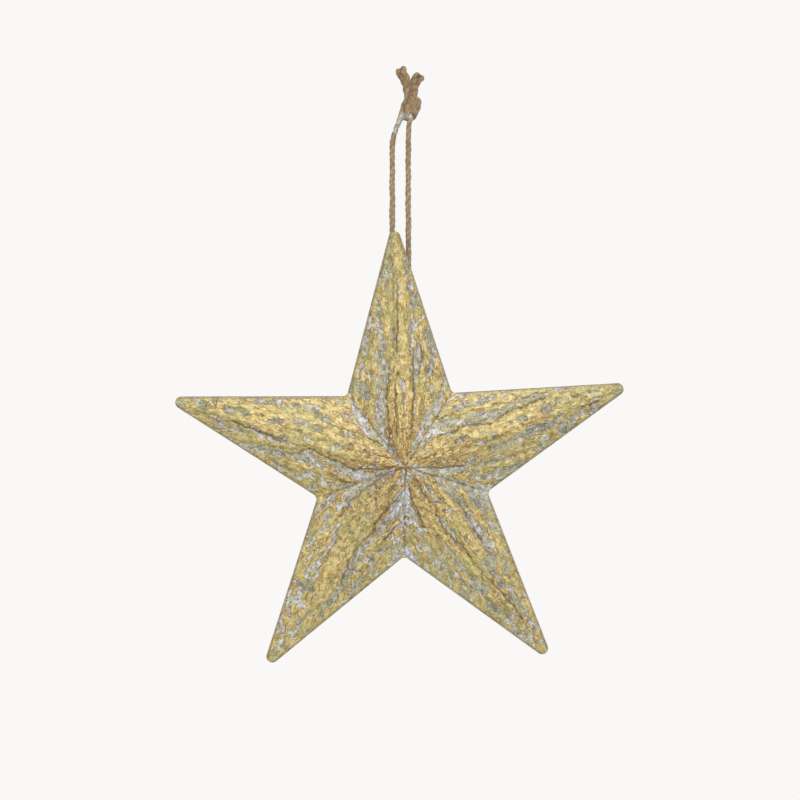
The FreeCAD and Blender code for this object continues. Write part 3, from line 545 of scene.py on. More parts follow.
def embossing(column, row, along, across, valley_gap):
    """The relief in metres and the marks that the finish follows, at places of one arm. Torn places are
    the photograph's with a little waver, so that the edges of the marks come out ragged."""
    torn_column = column + 1.5 * wander(column, row, 8, 11) + 0.8 * wander(column, row, 3, 12, 2)
    torn_row = row + 1.5 * wander(column, row, 8, 13) + 0.8 * wander(column, row, 3, 14, 2)
    height, crest = np.zeros_like(column), np.zeros_like(column)
    for rise, *line in crests:
        here = near(column, row, line, 14)
        gap, width = from_line(torn_column[here], torn_row[here], line)
        swell = np.clip(1 - (gap / (width * 1.15)) ** 2, 0, 1) ** 0.75
        height[here] = np.maximum(height[here], 0) + rise * mm * swell * (1 - 0.5 * crest[here])
        crest[here] = np.maximum(crest[here], swell)
    edge, pale = np.full_like(column, 9.0), np.full_like(column, 0.35)
    for tone, *line in hollows:
        here = near(column, row, line, 16)
        gap, width = from_line(torn_column[here], torn_row[here], line)
        inside = gap - width
        pale[here] = np.where(inside < edge[here], tone, pale[here])
        edge[here] = np.minimum(edge[here], inside)
    hollow = 1 - soften(edge, -1.8, 1.4)
    line_share = np.zeros_like(column)
    for line in creases:
        here = near(column, row, line, 6)
        gap = from_line(torn_column[here] - 0.6, torn_row[here], line)[0]
        line_share[here] = np.maximum(line_share[here], 1 - soften(gap, 0.4, 1.5))
    ring = np.zeros_like(column)
    for pock_column, pock_row, size in pocks:
        here = near(column, row, ((pock_column, pock_row),), 6)
        gap = np.hypot(torn_column[here] - pock_column, torn_row[here] - pock_row) - size * 0.8
        ring[here] = np.maximum(ring[here], 1 - soften(np.abs(gap), 0.2, 1.1))
        hollow[here] = np.maximum(hollow[here], 1 - soften(gap, -1.2, 0.2))
        pale[here] = np.where(gap < 0, 0.6, pale[here])
    faded = soften(valley_gap, 1 * mm, 5 * mm)
    streaks = wander(along, across * 4.0, 9 * mm, 21) * faded
    dabs = wander(along, across * 2.2, 3.4 * mm, 22) * faded
    nearest = cells(torn_column, torn_row, 7.5, 35)[0] + 0.12 * wander(column, row, 6, 37)
    dots = soften(wander(column, row, 26, 36), 0.0, 0.4)
    dotted = 0.8 * dots * (1 - soften(nearest, 0.08, 0.22))
    dot_ring = dots * (1 - soften(np.abs(nearest - 0.24), 0.02, 0.12))
    nearest, gap = cells(torn_column, torn_row, 4.6, 31)
    clusters = soften(wander(column, row, 22, 33), -0.1, 0.5)
    rims = (1 - soften(gap, 0.02, 0.2)) * clusters
    small_rims = 1 - soften(cells(torn_column, torn_row, 2.7, 32)[1], 0.02, 0.22)
    height += 0.36 * mm * streaks + 0.13 * mm * dabs + 0.06 * mm * wander(column, row, 2.2, 23, 2)
    height -= (0.6 * mm + 0.4 * mm * crest) * hollow + 0.2 * mm * dotted
    height -= 0.4 * mm * line_share + 0.2 * mm * ring + 0.1 * mm * (rims + 0.6 * small_rims)
    height += 0.12 * mm * (1 - soften(nearest, 0.1, 0.6)) * clusters
    lift = streaks + 0.8 * dabs
    dark = np.clip(line_share + 0.3 * rims + 0.6 * ring + 0.5 * dot_ring, 0, 1)
    hollow = np.maximum(hollow, dotted)
    return height, {"hollow": hollow, "pale": pale, "dark": dark, "crest": crest, "lift": lift}


def notch_place(side, further=0.0):
    """The corner of an arm's notch in the arm's own frame, or a place further out along the valley."""
    reach = inner_reach * (1 - rim_flange / (point_reach * math.sin(edge_lean))) + further
    return np.array([side * reach * math.sin(half_angle), reach * math.cos(half_angle)])


def kite_side(side, crown):
    """One side of an arm: from the crown to the rounded notch, along the edge and round to the tip."""
    opening = half_angle + edge_lean
    corner, web_middle = notch_place(side), notch_place(side, web_round / math.sin(opening))
    notch = notch_place(side, web_depth)
    arc_centre, radius = point_reach - tip_round / math.sin(edge_lean), tip_round - rim_flange
    turns = [(math.pi / 2 - edge_lean) * (1 - k / arc_rows) for k in range(arc_rows + 1)]
    tip = [np.array([side * radius * math.sin(turn), arc_centre + radius * math.cos(turn)]) for turn in turns]
    inner = [crown + (notch - crown) * k / inner_rows for k in range(inner_rows)]
    straight = corner + (tip[0] - corner) * web_run / np.linalg.norm(tip[0] - corner)
    web = []
    for k in range(web_rows):
        way = (notch - web_middle) * (1 - k / web_rows) + (straight - web_middle) * k / web_rows
        web.append(web_middle + way * web_round / np.linalg.norm(way))
    edge_rows = outer_rows - web_rows
    outer = [straight + (tip[0] - straight) * k / edge_rows for k in range(edge_rows)]
    return np.array([*inner, *web, *outer, *tip])


def roof_share(across, along, side, notch, crown):
    """How far a place is from the crown towards one edge of the arm: 0 at the crown and 1 on the edge."""
    lean = np.array([side * math.cos(edge_lean), math.sin(edge_lean)])
    reach = (notch - crown) @ lean
    return ((across - crown[0]) * lean[0] + (along - crown[1]) * lean[1]) / reach, reach


def roof(places, crown):
    """The plain kite's height over the plate, and how far its places are in from the nearer edge."""
    across, along = places[..., 0], places[..., 1]
    first, reach = roof_share(across, along, -1, notch_place(-1), crown)
    other, reach = roof_share(across, along, 1, notch_place(1), crown)
    middle = np.clip((first + other) / 2, 0, 1)
    rounded = ridge_round * 4 * middle * (1 - middle)
    share = (first + other + np.sqrt((first - other) ** 2 + rounded ** 2)) / 2
    return crown_height + (rim_height - crown_height) * np.clip(share, 0, 1), (1 - share) * reach


def placed(places, height, turn):
    """Places of an arm's own frame in the row frame, at a height over the plate."""
    across, along = places[..., 0], places[..., 1]
    x = star_across + across * math.cos(turn) + along * math.sin(turn)
    z = star_up - across * math.sin(turn) + along * math.cos(turn)
    return np.stack([x, plate_front - height, z], -1)


def embossed_front(flat, crown, turn):
    """An arm's embossed height over the plate and the marks that its finish follows, at its places. The
    marks side and down are the place itself, in millimetres."""
    height, edge_gap = roof(flat, crown)
    place = placed(flat, height, turn)
    column, row = seen_at(place[..., 0], place[..., 1], place[..., 2])
    valley_gap, notch_gap = np.full(column.shape, 1.0), np.full(column.shape, 1.0)
    for side in (-1, 1):
        notch_gap = np.minimum(notch_gap, np.linalg.norm(flat - notch_place(side), axis=-1))
        run = notch_place(side, web_depth) - crown
        along = np.clip(((flat - crown) @ run) / (run @ run), 0, 1)
        valley_gap = np.minimum(valley_gap, np.linalg.norm(flat - crown - along[..., None] * run, axis=-1))
    edge_gap = edge_gap + web_depth * (1 - soften(notch_gap, 0, web_run))
    relief, marks = embossing(column, row, flat[..., 1], flat[..., 0], valley_gap)
    relief *= 0.3 + 0.7 * soften(edge_gap, 0, 2.5 * mm)
    relief = np.maximum(relief, -0.15 * mm - 0.5 * np.maximum(valley_gap - 2.4 * mm, 0))
    height += relief - seam_depth * (1 - soften(valley_gap, 0, 0.9 * mm))
    turned = np.clip(1 - edge_gap / edge_round, 0, 1)
    height -= edge_round * (1 - np.sqrt(1 - turned ** 2))
    seam = (1 - soften(valley_gap, 0.25 * mm, 0.75 * mm)) * soften(wander(column, row, 5, 41), -0.8, 0)
    seam *= soften(notch_gap, 2 * mm, 6 * mm)
    # Painted shade: the rim, where the edge rounds over, is darkened, and more so near the tip.
    rim = 1 - soften(edge_gap, 0.1 * mm, 0.9 * mm)
    at_tip = soften(flat[..., 1] - flat[-1, 0, 1], -9 * mm, -1.5 * mm)
    marks["dark"] = np.clip(marks["dark"] + 0.65 * seam + (0.35 + 0.4 * at_tip) * rim, 0, 1)
    marks["hollow"] = np.maximum(marks["hollow"], 0.2 * at_tip)
    marks["tip"] = at_tip
    marks["warm"] = np.clip(1 - np.hypot(column - heart_column, row - heart_row) / heart_reach, 0, 1)
    marks["valley"] = soften(valley_gap, 1 * mm, 11 * mm)
    # How far each place faces down: shade is painted where it does and a highlight where it faces up.
    place = placed(flat, height, turn)
    square = np.cross(np.gradient(place, axis=0), np.gradient(place, axis=1))
    long = np.maximum(np.linalg.norm(square, axis=-1), 1e-12)
    marks["painted_slope_light"] = square[..., 2] / long * np.sign(square[..., 1])
    marks["side"] = (flat[..., 0] + 60 * mm * turn) * 1000
    marks["down"] = flat[..., 1] * 1000
    return height, marks


def kite_grid(rows, columns, first, flipped):
    """Point numbers of a grid whose end rows are one point each, which places those are, and its faces."""
    grid = np.zeros((rows + 1, columns + 1), int)
    grid[1:rows] = 1 + np.arange((rows - 1) * (columns + 1)).reshape(rows - 1, -1)
    grid[rows] = grid[rows - 1, -1] + 1
    keep = np.unique(grid, return_index=True)[1]
    grid += first
    faces = []
    for k in range(rows):
        for j in range(columns):
            corners = [grid[k, j], grid[k, j + 1], grid[k + 1, j + 1], grid[k + 1, j]]
            if flipped:
                corners = corners[:1] + corners[:0:-1]
            faces.append(list(dict.fromkeys(corners)))
    return grid, keep, faces


def hammered_arm(name, turn):
    """One embossed kite with its skirts, as a closed sheet, and the marks that its finish follows."""
    turn -= hang_tilt
    crown = np.array([crown_shift[0] * math.cos(turn) - crown_shift[1] * math.sin(turn),
                      crown_shift[0] * math.sin(turn) + crown_shift[1] * math.cos(turn)])
    left, right = kite_side(-1, crown), kite_side(1, crown)
    across_share = np.linspace(0, 1, columns + 1)[None, :, None]
    flat = left[:, None] * (1 - across_share) + right[:, None] * across_share
    height, seen_marks = embossed_front(flat, crown, turn)
    mark_names = list(seen_marks)
    hollow_mark, dark_mark, side_mark = (mark_names.index(mark) for mark in ("hollow", "dark", "side"))
    grid, keep, faces = kite_grid(rows, columns, 0, False)
    points = [placed(flat, height, turn).reshape(-1, 3)[keep]]
    marks = [np.stack(list(seen_marks.values()), -1).reshape(-1, len(seen_marks))[keep]]

    # The skirt goes down to the plate round the outside, and ends in a short lip along the valleys.
    loop = [(0, 0)] + [(k, columns) for k in range(1, rows)] + [(rows, 0)]
    loop += [(k, 0) for k in range(rows - 1, 0, -1)]
    ring = np.array([grid[k, j] for k, j in loop])
    edge = np.array([flat[k, j] for k, j in loop])
    top = np.array([height[k, j] for k, j in loop])
    on_rim = np.array([k >= inner_rows for k, j in loop])
    foot = np.where(on_rim, 0.0, top - inner_lip)
    out = np.roll(edge, -1, 0) - np.roll(edge, 1, 0)
    out = np.stack([out[:, 1], -out[:, 0]], -1) / np.linalg.norm(out, axis=1)[:, None]
    out *= np.sign(((edge - edge.mean(0)) * out).sum(1).mean())
    edge_marks = marks[0][ring]
    count = len(keep)
    for k in range(1, skirt_rows + 1):
        share = k / skirt_rows
        dent = wander(np.arange(len(ring)) * 0.45, np.full(len(ring), 9.0 * share), 7, 51)
        dent = 0.16 * mm * dent * on_rim * math.sin(math.pi * share)
        here = placed(edge + out * dent[:, None], top + (foot - top) * share, turn)
        points.append(here)
        worn = edge_marks.copy()
        rubbed = 0.45 * share + 0.25 * wander(here[:, 0], here[:, 2], 3 * mm, 52)
        worn[:, hollow_mark] = np.maximum(worn[:, hollow_mark] * (1 - share), rubbed)
        worn[:, dark_mark] = edge_marks[:, dark_mark] * (1 - share) + 0.3 * share
        worn[:, side_mark] += (top - foot) * share * 1000
        marks.append(worn)
        lower = count + np.arange(len(ring))
        for i in range(len(ring)):
            n = (i + 1) % len(ring)
            faces.append([ring[i], ring[n], lower[n], lower[i]])
        ring = lower
        count += len(ring)

    # The inside is a coarser kite of bare tin, a sheet's thickness in from the skirt.
    back_rows, back_columns = rows // coarse, columns // coarse
    inside = flat[::coarse, ::coarse].copy()
    middle = inside.mean(1, keepdims=True)
    half = np.linalg.norm(inside[:, :1] - middle, axis=-1, keepdims=True)
    inside = middle + (inside - middle) * np.clip(1 - sheet / np.maximum(half, sheet), 0.3, 1)
    axis = (left[rows] - crown) / np.linalg.norm(left[rows] - crown)
    inside[0] += 3 * sheet * axis
    inside[-1] -= 2 * sheet * axis
    back_loop = [(k // coarse, j // coarse) for k, j in loop[::coarse]]
    foot_ring = count + np.arange(len(back_loop))
    points.append(placed(np.array([inside[k, j] for k, j in back_loop]), foot[::coarse], turn))
    back, keep, back_faces = kite_grid(back_rows, back_columns, count + len(back_loop), True)
    back_height = np.maximum(roof(inside, crown)[0] - inner_lip, sheet)
    points.append(placed(inside, back_height, turn).reshape(-1, 3)[keep])
    bare = [1.0, 0.2, 0.2] + [0.0] * (len(seen_marks) - 3)
    marks.append(np.tile(bare, (len(back_loop) + len(keep), 1)))
    top_ring = np.array([back[k, j] for k, j in back_loop])
    for i in range(len(back_loop)):
        n = (i + 1) % len(back_loop)
        span = [ring[(i * coarse + step) % len(ring)] for step in range(coarse + 1)]
        faces.append([*span, foot_ring[n], foot_ring[i]])
        faces.append([foot_ring[i], foot_ring[n], top_ring[n], top_ring[i]])
    marks = dict(zip(seen_marks, np.concatenate(marks).T))
    return made_piece(name, np.concatenate(points), faces + back_faces, marks)


def made_piece(name, points, faces, marks=None, crisp=50):
    """A closed smooth mesh in the row frame, with its marks stored at its points."""
    mesh = bpy.data.meshes.new(name)
    mesh.from_pydata(points.tolist(), [], [[int(corner) for corner in face] for face in faces])
    work = bmesh.new()
    work.from_mesh(mesh)
    bmesh.ops.recalc_face_normals(work, faces=work.faces)
    work.to_mesh(mesh)
    work.free()
    for mark, values in (marks or {}).items():
        mesh.attributes.new(mark, "FLOAT", "POINT").data.foreach_set("value", np.asarray(values, np.float32))
    mesh.shade_smooth()
    mesh.set_sharp_from_angle(angle=math.radians(crisp))
    piece = bpy.data.objects.new(name, mesh)
    bpy.context.scene.collection.objects.link(piece)
    return piece


def mark(tree, name):
    """A mark stored at the piece's points."""
    return node(tree, "Attribute", {"attribute_name": name}).outputs["Fac"]


def swayed(total, noise, share):
    """The total moved up and down by a share of a noise that stays round 0.5."""
    return added(total, reckon("SUBTRACT", noise, 0.5), share)


def rubbed_gilding():
    """Gold leaf and bronze paint over zinc-grey tin, dark in the creases, browned near the star's heart."""
    finish, place = new_finish("rubbed_gilding")
    tree = finish.node_tree
    run = node(tree, "CombineXYZ", X=mark(tree, "side"), Y=mark(tree, "down")).outputs[0]
    painted_slope_light, warm = mark(tree, "painted_slope_light"), mark(tree, "warm")
    fine = grain(place, 1.9 * mm, 3, 0.58)
    speckle = grain(place, 0.9 * mm, 2, 0.6)
    dabs = grain(run, 3.8, 2, 0.5, (1, 2.2, 1))
    drift = grain(place, 12 * mm, 3, 0.6)
    curled = grain(run, 2.7, 2, 0.5, (1, 1.7, 1))
    dark_curl = between(apart(curled, 0.46), 0.008, 0.034, 1, 0)
    pale_curl = between(apart(curled, 0.52), 0.008, 0.036, 0.5, 0)

    # How worn the leaf is, where it is worn through, and the dark outline of those places.
    worn = swayed(times(mark(tree, "hollow"), 0.92), dabs, -2.0)
    worn = added(worn, mark(tree, "lift"), -0.14)
    worn = swayed(swayed(worn, curled, 1.0), fine, 0.35)
    worn = added(worn, mark(tree, "crest"), -0.34)
    bare = between(worn, 0.0, 0.38)
    outline = between(apart(worn, 0.14), 0.01, 0.1, 1, 0)
    outline = times(outline, between(drift, 0.4, 0.6, 0.95, 0.4))
    outline = times(outline, between(speckle, 0.36, 0.54, 0.4, 1.0))

    # The leaf: orange near the heart, with small curls and grooves, and painted light by the way it faces:
    # olive and orange painted shade on slopes facing down, a painted highlight on those facing up.
    tone = added(added(times(speckle, 0.2), fine, 0.35), curled, 0.45)
    orange_and_slope_shade = added(added(times(dabs, 0.4), warm, 0.6), painted_slope_light, 0.25)
    groove = apart(grain(run, 3.4, 3, 0.55, (1, 3.6, 1)), 0.5)
    leaf = over(
        graded(tone, (0.34, leaf_dark), (0.43, leaf_deep), (0.53, leaf_mid), (0.66, leaf_light)),
        (between(drift, 0.42, 0.6, 0.1, 0.6), leaf_olive),
        # Painted shade on slopes facing down, and a painted highlight on those facing up.
        (between(painted_slope_light, 0.15, 0.5, 0, 0.3), leaf_olive),
        (between(painted_slope_light, -0.2, -0.55, 0, 0.2), leaf_light),
        (between(orange_and_slope_shade, 0.34, 0.9, 0, 0.72), leaf_orange),
        (times(dark_curl, between(warm, 0.0, 0.6, 0.35, 0.85)), leaf_brown),
        (pale_curl, leaf_light),
        (between(groove, 0.006, 0.026, 0.7, 0), outline_gold),
        (outline, outline_gold),
    )

    # The zinc: its tone, a film of gilding left on it, glints, curls and a pale lip.
    zinc_tone = swayed(times(mark(tree, "pale"), 0.75), grain(place, 3.2 * mm, 2, 0.5), 3.4)
    zinc_tone = added(zinc_tone, reckon("SUBTRACT", 1.0, mark(tree, "valley")), 0.08)
    film = added(times(drift, 0.5), fine, 0.5)
    lip = between(apart(worn, 0.35), 0.02, 0.09, 0.75, 0)
    zinc = over(
        graded(zinc_tone, (0.02, zinc_olive), (0.3, zinc_grey), (0.6, zinc_lilac), (0.95, zinc_white)),
        (between(film, 0.45, 0.56, 0, 0.65), leaf_olive),
        (between(speckle, 0.6, 0.68, 0, 0.7), zinc_white),
        (times(dark_curl, 0.85), zinc_dark),
        (times(pale_curl, 0.7), zinc_white),
        (times(lip, between(dabs, 0.42, 0.52, 1, 0.2)), zinc_white),
        (outline, zinc_dark),
    )

    colour = over(
        leaf,
        (bare, zinc),
        (between(mark(tree, "tip"), 0.0, 1.0, 0, 0.5), leaf_olive),
        # Dark lines, seams and rings, with the painted shade along the rounded edges.
        (times(mark(tree, "dark"), between(fine, 0.3, 0.55, 0.9, 0.6)), dark_line_and_edge_shade),
    )
    pitted = bumped(worn, 0.25 * mm, 0.4)
    pitted.node.invert = True
    crinkled = bumped(tone, 0.2 * mm, 0.5, bumped(curled, 0.5 * mm, 0.6, pitted))
    shine, roughness = between(bare, 0, 1, 0.15, 0.05), between(fine, 0.3, 0.7, 0.64, 0.5)
    return finished(finish, colour, shine, roughness, crinkled)


gilding = rubbed_gilding()
for number, arm_name in enumerate(arm_names):
    arm = hammered_arm("embossed_arm_" + arm_name, number * 2 * math.pi / arm_count)
    arm.data.materials.append(gilding)
    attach(arm, "star")
    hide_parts("front_arm_" + arm_name)

# Valley solder: a lumpy run of solder under each valley, laid in from behind before the plate went on.
# It follows the valleys as they came out, with the crown a little right of the middle.
run_start, run_stop, run_radius, run_step, run_sides = 7 * mm, 4 * mm, 1.3 * mm, 0.5 * mm, 14


def carried_sides(line, side):
    """Two directions square to a line at each of its places, carried along it without twist from side."""
    run = np.gradient(line, axis=0)
    run /= np.linalg.norm(run, axis=1)[:, None]
    sides = []
    for direction in run:
        side = side - direction * (side @ direction)
        side = side / np.linalg.norm(side)
        sides.append(side)
    sides = np.array(sides)
    return sides, np.cross(run, sides)


def tube(line, sides, others, radii, turns, swell=None):
    """Rings of points round a line, with a cap at each end, and the faces between them."""
    angles = np.arange(turns) * 2 * math.pi / turns
    around = np.cos(angles)[None, :, None] * sides[:, None] + np.sin(angles)[None, :, None] * others[:, None]
    reach = np.broadcast_to(np.asarray(radii)[:, None], (len(line), turns)).copy()
    if swell is not None:
        reach *= swell
    points = np.concatenate([(line[:, None] + around * reach[..., None]).reshape(-1, 3), line[:1], line[-1:]])
    faces = []
    for ring in range(len(line) - 1):
        low, high = ring * turns, (ring + 1) * turns
        for k in range(turns):
            n = (k + 1) % turns
            faces.append([low + k, low + n, high + n, high + k])
    first, last = len(line) * turns, len(line) * turns + 1
    for k in range(turns):
        n = (k + 1) % turns
        faces.append([first, n, k])
        faces.append([last, (len(line) - 1) * turns + k, (len(line) - 1) * turns + n])
    return points, faces


def solder_runs(name):
    """The five runs as one mesh."""
    points, faces, count = [], [], 0
    for number in range(arm_count):
        turn = (number + 0.5) * 2 * math.pi / arm_count - hang_tilt
        notch = np.array([star_across + inner_reach * math.sin(turn), star_up + inner_reach * math.cos(turn)])
        crown = np.array([star_across + crown_shift[0], star_up + crown_shift[1]])
        long = np.linalg.norm(notch - crown)
        passed = np.arange(run_start, long - run_stop, run_step)
        share = passed[:, None] / long
        way = crown + (notch - crown) * share
        deep = crown_height + (rim_height - crown_height) * share[:, 0] - sheet - 1.4 * run_radius
        line = np.stack([way[:, 0], plate_front - deep, way[:, 1]], -1)
        sides, others = carried_sides(line, np.array([0.0, 1.0, 0.0]))
        ends = np.minimum(passed - passed[0], passed[-1] - passed) / (1.5 * run_radius)
        lumps = 1 + 0.1 * wander(passed, passed * 0 + number, 3 * mm, 70)
        radii = run_radius * lumps * np.sqrt(np.clip(1 - np.clip(1 - ends, 0, 1) ** 2, 0.03, 1))
        made, made_faces = tube(line, sides, others, radii, run_sides)
        points.append(made)
        faces += [[corner + count for corner in face] for face in made_faces]
        count += len(made)
    return made_piece(name, np.concatenate(points), faces)


valley_runs = solder_runs("valley_runs")
valley_runs.data.materials.append(solder)
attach(valley_runs, "star")
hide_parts("valley_solder")

# Jute cord: three plies laid together, 3.2 mm thick, one length that goes under the eye and up as two
# legs, which are tied in an overhand knot and cut off above it. The cut ends have opened, and it sheds
# fibres everywhere. Paint is smeared on it by the knot, and shade is painted between its strands there.
ply_radius, ply_offset, ply_lay, ply_sides, ply_twist = 0.93 * mm, 0.67 * mm, 11.5 * mm, 16, 6.5 * mm
ring_gap = 0.4 * mm
knot_low, knot_high, knot_squash = 3.5 * mm, 21 * mm, 0.5
loose_run, splayed_run, rounded_run, firm_run = 18 * mm, 7 * mm, 1.2 * mm, 8 * mm
hairs_per_mm, hair_radius, hair_reach = 2.0, 0.08 * mm, 3.4 * mm
jute_dark, jute_mid, jute_light, jute_shade = (108, 86, 54), (150, 127, 95), (198, 178, 146), (82, 62, 38)
jute_reddish, jute_tan = (158, 122, 96), (128, 100, 62)
smear_pale, smear_grey = (204, 200, 188), (136, 138, 134)

# Routes in millimetres. The left leg goes into the knot, round its right shoulder and out as the right
# tail, and the right leg the other way.
left_route = (
    (-5.7, 0, -78), (-5.7, 0, -71), (-5.7, 0, -16.3), (-5.7, 0, -6.2), (-1.9, 0, 3.2), (-0.1, -1.0, 7.6),
    (1.2, -0.9, 12.0), (4.6, 0.2, 15.2), (8.4, -0.9, 16.2), (8.7, -0.9, 12.2), (6.5, 0.2, 7.4),
    (4.0, 2.3, 5.2), (1.8, 3.0, 8.6), (3.4, 2.6, 14.0), (5.4, 1.6, 17.6), (5.6, 1.4, 20.0),
    (5.6, 1.4, 22.6), (7.2, 1.4, 26.2), (9.8, 1.2, 30.0),
)
right_route = (
    (3.3, 0, -78), (3.3, 0, -71), (3.3, 0, -8.5), (3.3, 0, 1.5), (4.6, -0.8, 6.2), (5.9, -1.9, 10.6),
    (6.2, -1.7, 14.8), (3.6, 0.8, 16.2), (1.3, 1.8, 13.0), (0.8, 1.6, 7.8), (1.6, -1.0, 5.0),
    (2.6, -2.8, 7.6), (3.0, -2.9, 13.0), (3.1, -1.9, 17.4), (3.0, -1.4, 20.0), (3.0, -1.4, 23.0),
    (1.2, -1.5, 27.6), (-1.6, -1.3, 33.0),
)
bight_route = (
    (-5.7, 0, -78), (-5.7, 0, -84), (-5.7, 0, -92.2), (-4.2, 0, -94.9), (-1.2, 0, -95.6), (1.8, 0, -94.9),
    (3.3, 0, -92.2), (3.3, 0, -84), (3.3, 0, -78),
)


def smooth_line(route):
    """The line that a cord follows: places every ring_gap along the route's own spline."""
    curve = bpy.data.curves.new("route", "CURVE")
    curve.dimensions = "3D"
    spline = curve.splines.new("NURBS")
    spline.points.add(len(route) - 1)
    for point, place in zip(spline.points, route):
        point.co = (*[part * mm for part in place], 1)
    spline.order_u = 3
    spline.use_endpoint_u = True
    spline.resolution_u = 24
    holder = bpy.data.objects.new("route", curve)
    mesh = bpy.data.meshes.new_from_object(holder)
    line = np.array([vertex.co for vertex in mesh.vertices], float)
    bpy.data.objects.remove(holder)
    bpy.data.curves.remove(curve)
    bpy.data.meshes.remove(mesh)
    passed = np.concatenate([[0], np.cumsum(np.linalg.norm(np.diff(line, axis=0), axis=1))])
    wanted = np.linspace(0, passed[-1], int(round(passed[-1] / ring_gap)) + 1)
    return np.stack([np.interp(wanted, passed, line[:, axis]) for axis in range(3)], -1), wanted


def laid_cord(name, route, side, phase, seed, frayed):
    """A three-ply cord along a route. A frayed one opens at its end, and its plies stand apart there."""
    dice = np.random.RandomState(seed)
    line, passed = smooth_line(route)
    sides, others = carried_sides(line, np.array(side, float))
    left = passed[-1] - passed
    loosened = soften(loose_run - left, 0, 0.65 * loose_run) * frayed
    opened = soften(splayed_run - left, 0, splayed_run) * frayed
    plump = soften(line[:, 2], knot_low, knot_low + 3 * mm)
    plump = plump * (1 - soften(line[:, 2], knot_high, knot_high + 4 * mm))
    free = soften(np.minimum(passed, left), 0, firm_run)
    lumpy = 0.12 * wander(passed, passed * 0 + 9, 6 * mm, seed + 30) * free
    sway = 0.22 * mm * wander(passed, passed * 0 + 5, 9 * mm, seed + 31) * free
    swayed_line = line + sides * sway[:, None]
    points, faces, marks, count = [], [], [], 0

    def keep(made, made_faces, made_marks):
        nonlocal count
        points.append(made)
        faces.extend([corner + count for corner in face] for face in made_faces)
        marks.append(made_marks)
        count += len(made)

    for ply in range(3):
        turn = phase + 2 * math.pi * (ply / 3 + passed / ply_lay)
        turn = turn + 0.7 * wander(passed, passed * 0, 9 * mm, 60)
        turn = turn - 0.8 * soften(firm_run - left, 0, firm_run) * frayed
        away = ply_offset * (1 + 0.15 * plump + 1.15 * loosened) + opened * (0.3 + 0.35 * ply) * 0.75 * mm
        out = np.cos(turn)[:, None] * sides + np.sin(turn)[:, None] * others
        middle = swayed_line + out * away[:, None]
        uneven = 0.15 * wander(passed, passed * 0 + ply, 4 * mm, seed + ply)
        fat = (1 + knot_squash * plump + lumpy + uneven + 0.8 * loosened) * ply_radius
        if frayed:
            fat *= np.sqrt(np.clip(1 - np.clip(1 - left / rounded_run, 0, 1) ** 2, 0.04, 1))
        first_sides, second_sides = carried_sides(middle, np.array(side, float))
        angles = np.arange(ply_sides) * 2 * math.pi / ply_sides
        twisted = angles[None, :] + passed[:, None] * 2 * math.pi / ply_twist
        ridges = 0.05 * np.sin(6 * twisted) + 0.04 * np.sin(9 * twisted + 2 * ply)
        rough = 0.12 * wander(np.cos(angles)[None, :] * 2 + passed[:, None] / (1.1 * mm),
                              np.sin(angles)[None, :] * 2 + ply * 7.3, 1.0, seed + 7 + ply)
        made, made_faces = tube(middle, first_sides, second_sides, fat, ply_sides, 1 + ridges + rough)
        core = np.concatenate([np.repeat(swayed_line, ply_sides, 0), swayed_line[:1], swayed_line[-1:]])
        reach = np.repeat(away + fat, ply_sides)
        reach = np.concatenate([reach, reach[:1], reach[-1:]])
        # Painted shade: how deep each point lies in among the plies, to darken the crevices between them.
        painted_ply_shade = np.clip(1 - np.linalg.norm(made - core, axis=1) / reach, 0, 1)
        fibre_a = np.concatenate([(np.cos(twisted) * 0.9).ravel(), [0, 0]])
        fibre_b = np.concatenate([(np.sin(twisted) * 0.9).ravel(), [0, 0]])
        run = np.concatenate([np.repeat(passed, ply_sides), [0, passed[-1]]])
        keep(made, made_faces, np.stack([painted_ply_shade, fibre_a + 3 * ply, fibre_b, run * 1000], -1))
    for hair in range(int(passed[-1] / mm * hairs_per_mm)):
        at = dice.randint(2, len(line) - 2)
        if frayed and dice.rand() < 0.3:
            at = len(line) - 3 - int(dice.rand() * 14 * mm / ring_gap)
        turn, lean = dice.rand() * 2 * math.pi, dice.rand() * 0.7 + 0.15
        long, bend = (0.8 + 2.0 * dice.rand() ** 2) * mm, dice.rand(3) - 0.5
        out = math.cos(turn) * sides[at] + math.sin(turn) * others[at]
        run = line[at + 1] - line[at - 1]
        run *= (1 if dice.rand() < 0.5 else -1) / np.linalg.norm(run)
        steps = np.linspace(0, 1, 5)[:, None]
        way = run * (1 - lean) + out * lean
        strand = line[at] + out * 1.1 * mm + (way * steps + bend * 0.5 * steps ** 2) * long
        if np.linalg.norm(strand - line[at], axis=1).max() > hair_reach:
            continue
        first_sides, second_sides = carried_sides(strand, np.cross(way, out + bend))
        made, made_faces = tube(strand, first_sides, second_sides, hair_radius * (1 - 0.75 * steps[:, 0]), 3)
        keep(made, made_faces, np.tile([0.0, dice.rand() * 6, 0.0, at * 1.0], (len(made), 1)))
    marks = dict(zip(("painted_ply_shade", "fibre_a", "fibre_b", "fibre_run"), np.concatenate(marks).T))
    piece = made_piece(name, np.concatenate(points), faces, marks, 75)
    return piece, line, passed[-1], sides[-1], phase + 2 * math.pi * passed[-1] / ply_lay


